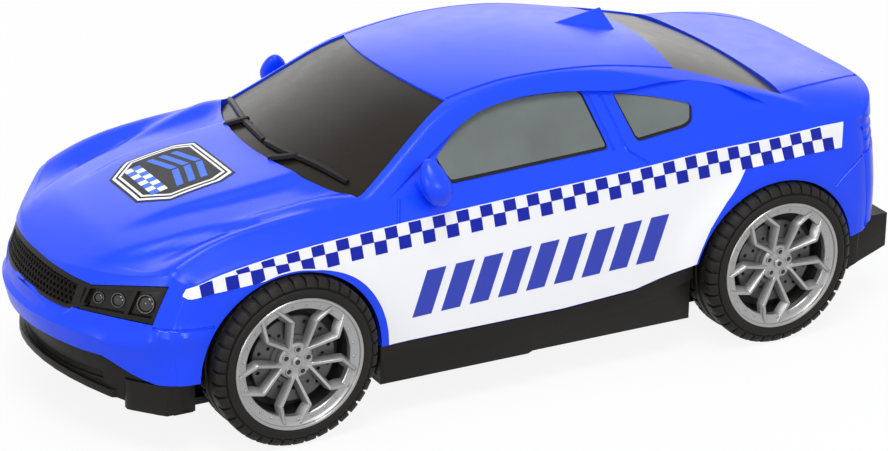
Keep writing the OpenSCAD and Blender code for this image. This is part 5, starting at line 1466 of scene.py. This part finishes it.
arch_steps = FRONT_X - (ARCH_R + PANEL_ROOM + EXTRA_ROOM) * np.cos(np.linspace(0, math.pi / 2, 40))
corner_steps = [*(panel_rear[:, 0] + 0.001), panel_rear[-1, 0] + 0.01]
sticker_x = np.concatenate([np.linspace(STICKER_TAIL, STICKER_FRONT, 190), arch_steps, corner_steps])
sticker_x = np.unique(sticker_x.round(3))
layers = [vinyl("vinyl", sticker_x, sticker_low(sticker_x), stripe_top(sticker_x), 12, SHEET_LIFT, SHEET_T,
                white_print)]
print("sticker of", len(sticker_x), "columns")

# %% Checks
# Width and height of a check, where the first one starts, how many lie before it and how many from it on
CHECK, ROW, FIRST, BEFORE, AFTER = 3.47, 3.65, 58.56, 11, 48
# Room to the stripe's top and to the arches, least height, and where the rows end
TOP_ROOM, ARCH_ROOM, CHECK_LEAST, CHECKS_FRONT, CHECKS_TAIL = 0.3, 0.9, 0.3, 96.6, -98.8
for k in range(-BEFORE, AFTER):
    for row in (0, 1):
        if (k + row) % 2:
            continue
        slant = np.interp(FIRST - CHECK * k, [-99, 45], [0.26, 0.15]) * ROW
        x = FIRST - CHECK * np.linspace(k + 1, k, 5)
        x = x + np.interp(x, [-95, -50], [1.7, 0]) + (row - 1) * slant
        low = np.interp(x, *stripe_low.T) + row * ROW
        high = np.minimum(low + ROW, stripe_top(x) - TOP_ROOM)
        low = np.maximum(low, arch_over(x, ARCH_ROOM))
        if (high - low).min() > CHECK_LEAST and x[-1] < CHECKS_FRONT and x[0] > CHECKS_TAIL:
            layers.append(vinyl("check", x, low, high, 4, PRINT_LIFT, PRINT_T, navy_print, slant))
print(len(layers) - 1, "checks on a side")

# %% Bars
bar_low, bar_high = [(-41, 29.9), (33, 27.4)], [(-41, 42.9), (33, 40.1)]
BAR_FIRST, BAR_LAST, BAR_PITCH, BAR_WIDE, BAR_LEAN = -36.5, 33, 8.45, 5.6, 4.0
for x in np.arange(BAR_FIRST, BAR_LAST, BAR_PITCH):
    bar_x = np.linspace(x - BAR_WIDE, x, 5)
    low, high = (np.interp(bar_x, *np.array(line).T) for line in (bar_low, bar_high))
    layers.append(vinyl("bar", bar_x + BAR_LEAN / 2, low, high, 8, PRINT_LIFT, PRINT_T, navy_bar, -BAR_LEAN))
hand_over_both(join("vinyl_left", *layers), "side_sticker", angle=50)
print(len(layers) - 1, "checks and bars on a side")

# %% [markdown]
# The hood carries a smaller sticker: a plain eight-cornered patch with a white edge, a dark field, blue
# chevrons and two rows of checks. Its layers are slabs as well, each a little smaller and higher than the
# one below.

# %% Hood patch
PATCH = [(67.7, -12.4), (67.7, 12.4), (72.6, 14.9), (87.3, 14.9), (94.1, 8.7), (94.1, -8.7), (87.3, -14.9),
         (72.6, -14.9)]
PATCH_T, PATCH_TOP = 0.14, 0.40
# Edge taken off, lift and material of each layer
PATCH_LAYERS = ((0, 0.10, black_print), (0.7, 0.16, white_print), (1.5, 0.22, black_print),
                (2.1, 0.28, white_print), (2.8, 0.34, black_print))
CHEVRONS, CHEVRON_FIRST, CHEVRON_PITCH = 3, 71.6, 3.4
SQUARES, SQUARE_FIRST, SQUARE_PITCH, SQUARE = 8, 85.2, 2.3, 2.2


def hood_layer(outline, lift, material, size=(36, 24)):
    drawn = filled(outline, *size)
    outer, under = (np.array([[on_top(a, b, level) for a, b in row] for row in drawn])
                    for level in (lift, lift - PATCH_T))
    return slab("layer", outer, under, material)


layers = [hood_layer(shrunk(PATCH, by), lift, material) for by, lift, material in PATCH_LAYERS]
for k in range(CHEVRONS):
    x = CHEVRON_FIRST + CHEVRON_PITCH * k
    for side in (1, -1):
        chevron = [(x, side * 0.4), (x + 1.9, side * 0.4), (x + 4.6, side * 9.8), (x + 2.7, side * 9.8)]
        layers.append(hood_layer(chevron, PATCH_TOP, patch_blue, (10, 8)))
for k in range(SQUARES):
    for row in (0, 1):
        corner = [SQUARE_FIRST + row * SQUARE_PITCH, (k - SQUARES / 2) * SQUARE_PITCH]
        square = np.array([(0, 0), (SQUARE, 0), (SQUARE, SQUARE), (0, SQUARE)]) + corner
        layers.append(hood_layer(square, PATCH_TOP, white_print if (k + row) % 2 else patch_blue, (4, 4)))
hand_over(join("hood_patch", *layers), "hood_sticker", angle=50)
print("hood patch of", len(layers), "layers")

# %% [markdown]
# ## Tyres
# A tyre is spun from a profile: a smooth sidewall up to a thin groove, then the shoulder and the tread. The
# forty shoulder blocks on each side are one bevelled block, repeated by the ring group. A wheel is made
# once, lying on its back round the Z axis with its outer face at height zero, and later turned into its
# four places.

# %% Tyre
WIDE = 15.0
half_tyre = [(17.75, -1.2), (17.95, -0.35), (18.5, -0.06), (19.2, 0), (20.05, -0.1), (20.35, -0.28),
             (20.42, -0.62), (20.62, -0.62), (20.8, -0.5), (21.9, -1.5), (22.35, -2.6), (22.4, -4.5),
             (22.85, -4.7), (22.85, -6.4), (22.4, -6.6)]
profile = half_tyre + [(r, -WIDE - z) for r, z in reversed(half_tyre)]
tyre = lathe("tyre", profile, rubber, steps=160)
BLOCK = [(20.62, -0.55), (20.85, -0.2), (21.3, -0.25), (22.6, -1.15), (23, -2), (23, -4.4), (22, -4.4),
         (21, -2)]
BLOCKS, BLOCK_R, BLOCK_HALF, BLOCK_EDGE = 40, 21, 1.42, 0.22
blocks = []
for flip in (False, True):
    outline = [(r - BLOCK_R, -WIDE - z if flip else z) for r, z in BLOCK]
    block = round_edges(prism("block", outline, -BLOCK_HALF, BLOCK_HALF, 1), BLOCK_EDGE)
    blocks.append(ring_of("blocks", block, BLOCKS, rubber, radius=BLOCK_R, turn=180 / BLOCKS if flip else 0))
tyre = join("tyre", tyre, *blocks)
print("tyre:", len(tyre.data.polygons), "faces")

# %% [markdown]
# ## Rims
# The rim is a silver casting: an outer lip, a riveted band under it and five spokes. Each spoke is two arms
# that part at the hub, bend and close again at the band, with sloping sides that shade the openings. An arm
# is a lofted bar: the same six-point outline set at stations along its path, wider at its foot. Rivets,
# spokes and lug nuts are repeated by the ring group.


# %% Spokes
# Path of an arm along +X, height of its sides and the small bevel of its top
ARM = np.array([(3.2, 0.1, -2.5), (4.3, 0.35, -2.05), (11.35, 4.1, 0), (16.9, 2.15, -0.9)])
ARM_DEEP, ARM_BEVEL, BEVEL_DEEP = -2.4, 0.12, -0.14
SPOKES, SPOKE_TURN = 5, 83.4


def arm(side):
    """One arm of a spoke that lies along +X."""
    run = length_along(ARM)
    at = np.unique(np.concatenate([np.linspace(0, run[-1], 24), run]))
    path = points_at(at, run, ARM)
    along = np.gradient(path[:, :2], axis=0)
    across = np.stack([-along[:, 1], along[:, 0]], axis=1) / np.linalg.norm(along, axis=1)[:, None]
    t = at / run[-1]
    outer = np.interp(t, [0, 0.3, 0.6, 1], [0.7, 0.85, 1.0, 1.1])
    inner = np.interp(t, [0, 0.3, 0.6, 0.75, 1], [0.8, 1.0, 1.1, 1.5, 1.3])
    top = np.interp(t, [0, 0.15, 0.9, 1], [0.6, 0.44, 0.44, 0.55])
    rows = []
    for p, way, o, i, w in zip(path, across, outer, inner, top):
        outline = [(-i, ARM_DEEP), (-w, BEVEL_DEEP), (ARM_BEVEL - w, 0), (w - ARM_BEVEL, 0), (w, BEVEL_DEEP),
                   (o, ARM_DEEP)]
        rows.append([(p[0] + a * way[0], side * (p[1] + a * way[1]), p[2] + b) for a, b in outline])
    n = len(path)
    faces = grid_faces(n, 6, wrap=True) + [tuple(range(6)), tuple(range(n * 6 - 1, n * 6 - 7, -1))]
    return outward(add_mesh("arm", np.array(rows).reshape(-1, 3), faces))


spokes = ring_of("spokes", carve(arm(1), arm(-1), operation="UNION"), SPOKES, silver, turn=SPOKE_TURN)
print("spokes:", len(spokes.data.polygons), "faces")

# %% Rim
RIVETS, RIVET_R, RIVET_Z, RIVET_TURN = 25, 15.62, -1.18, 3
NUT_R, NUT_Z, NUT_TURN = 3.3, -2.45, SPOKE_TURN + 180 / SPOKES
CAP_R, CAP_LOW, CAP_HIGH, CAP_EDGE = 1.55, -2.7, -1.75, 0.25
lip = lathe("lip", [(18.05, -1.6), (18.05, -0.2), (17.9, 0), (17.4, 0), (17.2, -0.2), (17.1, -0.75),
                    (16.6, -1.05), (16.35, -1.1), (14.95, -1.25), (14.75, -1.5), (14.7, -3.2), (15.2, -3.4),
                    (17.8, -3.4)], silver, steps=160)
# The rim's drum and the sheet that closes the wheel behind the spokes are near-black: painted shade of the
# wheel's inside.
barrel = lathe("barrel", [(14.75, -3.0), (14.65, -3.3), (14.0, -7.5), (0.02, -7.5), (0.02, -8.2),
                          (14.6, -8.2), (14.7, -14.6), (17.7, -14.6), (17.7, -3.2), (15, -3.0)], painted_shade_dark,
               steps=96)
rivet = lathe("rivet", [(0.02, 0.34), (0.22, 0.3), (0.4, 0.12), (0.45, -0.3), (0.02, -0.3)], steps=16)
rivets = ring_of("rivets", rivet, RIVETS, silver, radius=RIVET_R, height=RIVET_Z, turn=RIVET_TURN)
hub_profile = [(0.02, -2.45), (4.3, -2.45), (4.9, -2.9), (5.3, -4.2), (5.3, -6.2), (0.02, -6.2)]
hub = lathe("hub", hub_profile, silver, steps=64)
nut_profile = [(0.62, 0.1), (0.7, 0.32), (0.95, 0.32), (1.05, 0.1), (1.05, -0.3), (0.62, -0.3)]
nut_ring = lathe("nut_ring", nut_profile, steps=28)
# The hole of each lug nut is a near-black disc: painted shade.
nut_hole = lathe("nut_hole", [(0.02, 0.03), (0.64, 0.03), (0.64, -0.3), (0.02, -0.3)], steps=20)
nuts = ring_of("nuts", nut_ring, SPOKES, silver, radius=NUT_R, height=NUT_Z, turn=NUT_TURN)
holes = ring_of("holes", nut_hole, SPOKES, painted_shade_dark, radius=NUT_R, height=NUT_Z, turn=NUT_TURN)
cap = round_edges(prism("cap", ring6 * CAP_R, CAP_LOW, CAP_HIGH, 2, silver), CAP_EDGE, 3)
# The cap's dimple is a flat near-black disc on the cap: painted shade.
dimple = lathe("dimple", [(0.02, -1.72), (0.7, -1.72), (0.75, -1.9), (0.02, -1.9)], painted_shade_dark, steps=24)
rim = join("rim", lip, barrel, rivets, spokes, hub, nuts, holes, cap, dimple)
print("rim:", len(rim.data.polygons), "faces")

# %% [markdown]
# ## Brake discs
# Behind the spokes stands a disc with two rings of drilled holes. The cutters for the holes are rods in a
# ring, so the same node group makes them and one Boolean cuts each ring.

# %% Brake disc
disc_profile = [(5.4, -3.9), (6.6, -3.9), (6.9, -4.4), (11.5, -4.4), (11.75, -4.6), (11.75, -5.6),
                (11.5, -5.8), (5.4, -5.8)]
# The disc's silver is darkened with painted shade.
disc = lathe("disc", disc_profile, disc_silver, steps=120)
# Radius, count, turn and bore of each ring of holes; top and length of the rods that cut them
HOLE_RINGS = ((8.2, 12, 0, 0.5), (10.2, 12, 12, 0.55))
ROD_TOP, ROD_LONG = -3, 4
for radius, count, turn, bore in HOLE_RINGS:
    rod = lathe("rod", [(0.02, 0), (bore, 0), (bore, -ROD_LONG), (0.02, -ROD_LONG)], steps=16)
    carve(disc, ring_of("rods", rod, count, disc_silver, radius=radius, height=ROD_TOP, turn=turn))
print("disc:", len(disc.data.polygons), "faces")

# %% [markdown]
# The finished wheel is copied to its four places. On the right side it is turned round, so that its face
# looks outwards there as well.

# %% Four wheels
FACE = 50.4
WHEEL_PARTS = ((tyre, "tyre", "tyre_rubber"), (rim, "rim", "rim_silver"), (disc, "brake_disc", "disc_silver"))
for rider, x in (("front", FRONT_X), ("rear", REAR_X)):
    for side, flip in (("left", 1), ("right", -1)):
        frame = Matrix(((1, 0, 0, x * MM), (0, 0, flip, flip * FACE * MM), (0, -flip, 0, AXLE_Z * MM),
                        (0, 0, 0, 1)))
        for piece, node, slot in WHEEL_PARTS:
            copy = bpy.data.objects.new("wheel_%s_%s_%s" % (rider, side, piece.name), piece.data.copy())
            scene.collection.objects.link(copy)
            copy.data.transform(frame)
            hand_over(copy, "%s_%s_%s" % (rider, side, node), rider + "_axle_set", 34)
remove(tyre, rim, disc)
print("wheels on their axles")

# %% [markdown]
# ## Black base
# Everything under the blue moulding is one black base with skirts, a splitter, feet and a bar at the back.
# The measured base already has these forms with sharp edges. A copy of its mesh is merged into one surface,
# its flat fields are joined, the blocks behind the front bumper are set back a little, and a bevel breaks
# the edges so that they catch the light.

# %% Base
MERGE, FLAT = 0.004, 2
BASE_EDGE, BASE_ANGLE = 0.3, 40
# Back, front and top of what is cut off behind the bumper, and the width where the cut starts
BASE_CUTS = (("corner", 91.5, 112, 21.2, 42.7), ("foot", 91, 112, 12.2, 30))


def merged_copy(node, name, material):
    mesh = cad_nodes[node].data.copy()
    bm = bmesh.new()
    bm.from_mesh(mesh)
    bmesh.ops.remove_doubles(bm, verts=bm.verts, dist=MERGE * MM)
    bmesh.ops.dissolve_limit(bm, angle_limit=math.radians(FLAT), verts=bm.verts, edges=bm.edges)
    bm.to_mesh(mesh)
    bm.free()
    mesh.materials.clear()
    mesh.materials.append(material)
    obj = bpy.data.objects.new(name, mesh)
    scene.collection.objects.link(obj)
    return obj


base = merged_copy("chassis_base", "black_base", black)
for name, back, front, top, inner in BASE_CUTS:
    cut_both_sides(base, name, [(back, 0), (front, 0), (front, top), (back, top)], inner)
round_edges(base, BASE_EDGE, 2, BASE_ANGLE)
hand_over(base, "chassis_base", angle=30)
print("base:", len(base.data.polygons), "faces")

# %% [markdown]
# ## Parts inside
# The axles, the screws and the friction motor can hardly be seen from outside. They keep their measured
# meshes and get only a material.

# %% Paint the parts inside
inside = {"body_screws": steel, "front_axle_cover": black, "cover_screws": steel, "front_axle": steel,
          "rear_axle": steel, "motor_housing_left": black, "motor_housing_right": black,
          "motor_screws": steel, "axle_gear": gear_white, "idler_gear": gear_white, "idler_shaft": steel,
          "flywheel": steel, "flywheel_shaft": steel}
for node, material in inside.items():
    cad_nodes[node].data.materials.clear()
    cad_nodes[node].data.materials.append(material)
print(len(inside), "measured parts painted")

# %% [markdown]
# ## White studio
# The picture is a product shot on white. The floor and the world look white to the camera, and to rays that
# mirror or pass through, so that silver and glossy faces show the same white room; light that falls on the
# car comes from a dimmer world and four soft lamps. A part of the floor's real shading is kept, which
# leaves the shadow. The tops of the car mirror what stands behind it, seen from this low camera: the large
# lamp there makes them pale.


# %% Floor and world
# Grey and roughness of the paper, share and strength of its glow, half its size
PAPER_GREY, PAPER_ROUGH, GLOW_SHARE, GLOW, PAPER_HALF = 0.5, 0.9, 0.8, 1.1, 6000
# Strength of the world for light that falls and for rays that see it
WORLD_FALLING, WORLD_SEEN = 0.45, 1.0


def seen_or_mirrored(nodes, links):
    """1 for rays from the camera and for rays that mirror or pass through, 0 for the light that falls."""
    path = nodes.new("ShaderNodeLightPath")
    total = path.outputs["Is Camera Ray"]
    for label in ("Is Glossy Ray", "Is Transmission Ray"):
        larger = nodes.new("ShaderNodeMath")
        larger.operation = "MAXIMUM"
        links.new(total, larger.inputs[0])
        links.new(path.outputs[label], larger.inputs[1])
        total = larger.outputs["Value"]
    return total


def floor_paper():
    material = bpy.data.materials.new("Paper")
    material.use_nodes = True
    nodes, links = material.node_tree.nodes, material.node_tree.links
    nodes["Principled BSDF"].inputs["Base Color"].default_value = (PAPER_GREY, PAPER_GREY, PAPER_GREY, 1)
    nodes["Principled BSDF"].inputs["Roughness"].default_value = PAPER_ROUGH
    share = nodes.new("ShaderNodeMath")
    share.operation = "MULTIPLY"
    share.inputs[1].default_value = GLOW_SHARE
    links.new(seen_or_mirrored(nodes, links), share.inputs[0])
    glow = nodes.new("ShaderNodeEmission")
    glow.inputs["Strength"].default_value = GLOW
    mix = nodes.new("ShaderNodeMixShader")
    links.new(share.outputs["Value"], mix.inputs["Fac"])
    links.new(nodes["Principled BSDF"].outputs["BSDF"], mix.inputs[1])
    links.new(glow.outputs["Emission"], mix.inputs[2])
    links.new(mix.outputs["Shader"], nodes["Material Output"].inputs["Surface"])
    return material


def white_world():
    world = bpy.data.worlds.new("Studio")
    world.use_nodes = True
    nodes, links = world.node_tree.nodes, world.node_tree.links
    strength = nodes.new("ShaderNodeMix")
    links.new(seen_or_mirrored(nodes, links), strength.inputs["Factor"])
    strength.inputs["A"].default_value = WORLD_FALLING
    strength.inputs["B"].default_value = WORLD_SEEN
    background = nodes["Background"]
    background.inputs["Color"].default_value = (1, 1, 1, 1)
    links.new(strength.outputs["Result"], background.inputs["Strength"])
    return world


paper_corners = [(a * PAPER_HALF, b * PAPER_HALF, 0) for a, b in ((-1, -1), (1, -1), (1, 1), (-1, 1))]
floor = add_mesh("floor", paper_corners, [(0, 1, 2, 3)], floor_paper())
floor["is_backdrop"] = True
scene.world = white_world()
print("floor, m:", [round(v, 1) for v in floor.dimensions])

# %% Soft lamps
# Place in metres, size and power of each lamp, and the point they face
LAMPS = (("back", (-0.65, -1.85, 1.1), 2.0, 15.0), ("key", (0.3, 0.5, 1.4), 0.6, 12.0),
         ("front", (1.4, 0.5, 0.5), 0.4, 4.0), ("side", (0.1, 1.5, 0.6), 0.5, 8.0))
LIT = Vector((0, 0, 0.04))
for name, spot, size, watts in LAMPS:
    light = bpy.data.lights.new(name, "AREA")
    light.size = size
    light.energy = watts
    obj = bpy.data.objects.new(name, light)
    obj.location = spot
    obj.rotation_euler = (LIT - Vector(spot)).to_track_quat("-Z", "Y").to_euler()
    scene.collection.objects.link(obj)
print(len(LAMPS), "soft lamps")

# %% [markdown]
# The camera was fitted to the wheels and the body's lines: where it stands round the car, how high, how it
# is rolled, what it looks at, and its focal length in pixels of a picture of known width.

# %% Camera
PICTURE_WIDE, FOCAL, SENSOR = 888, 3382.5, 36
TURN, LIFT, ROLL = (math.radians(v) for v in (61.316, 22.016, 0.892))
TARGET, DISTANCE, FAR = Vector((0.02683, 0.0504, 0.05384)), 0.8639, 30
lens = bpy.data.cameras.new("camera")
lens.sensor_width = SENSOR
lens.lens = FOCAL / PICTURE_WIDE * SENSOR
lens.clip_end = FAR
back = Vector((math.cos(LIFT) * math.cos(TURN), math.cos(LIFT) * math.sin(TURN), math.sin(LIFT)))
right = (-back).cross(Vector((0, 0, 1))).normalized()
up = right.cross(-back)
tilted = math.cos(ROLL) * right + math.sin(ROLL) * up
raised = -math.sin(ROLL) * right + math.cos(ROLL) * up
frame = Matrix((tilted, raised, back)).transposed().to_4x4()
frame.translation = TARGET + back * DISTANCE
camera = bpy.data.objects.new("camera", lens)
camera.matrix_world = frame
scene.collection.objects.link(camera)
scene.camera = camera
scene.view_settings.view_transform = "Standard"
print("camera lens, mm:", round(lens.lens, 2))

# %% [markdown]
# ## Size of the dressed model
# The box round the dressed model is printed.

# %% Size of the dressed model
low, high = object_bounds()
print("visual box, mm:", [round((b - a) / MM, 1) for a, b in zip(low, high)])
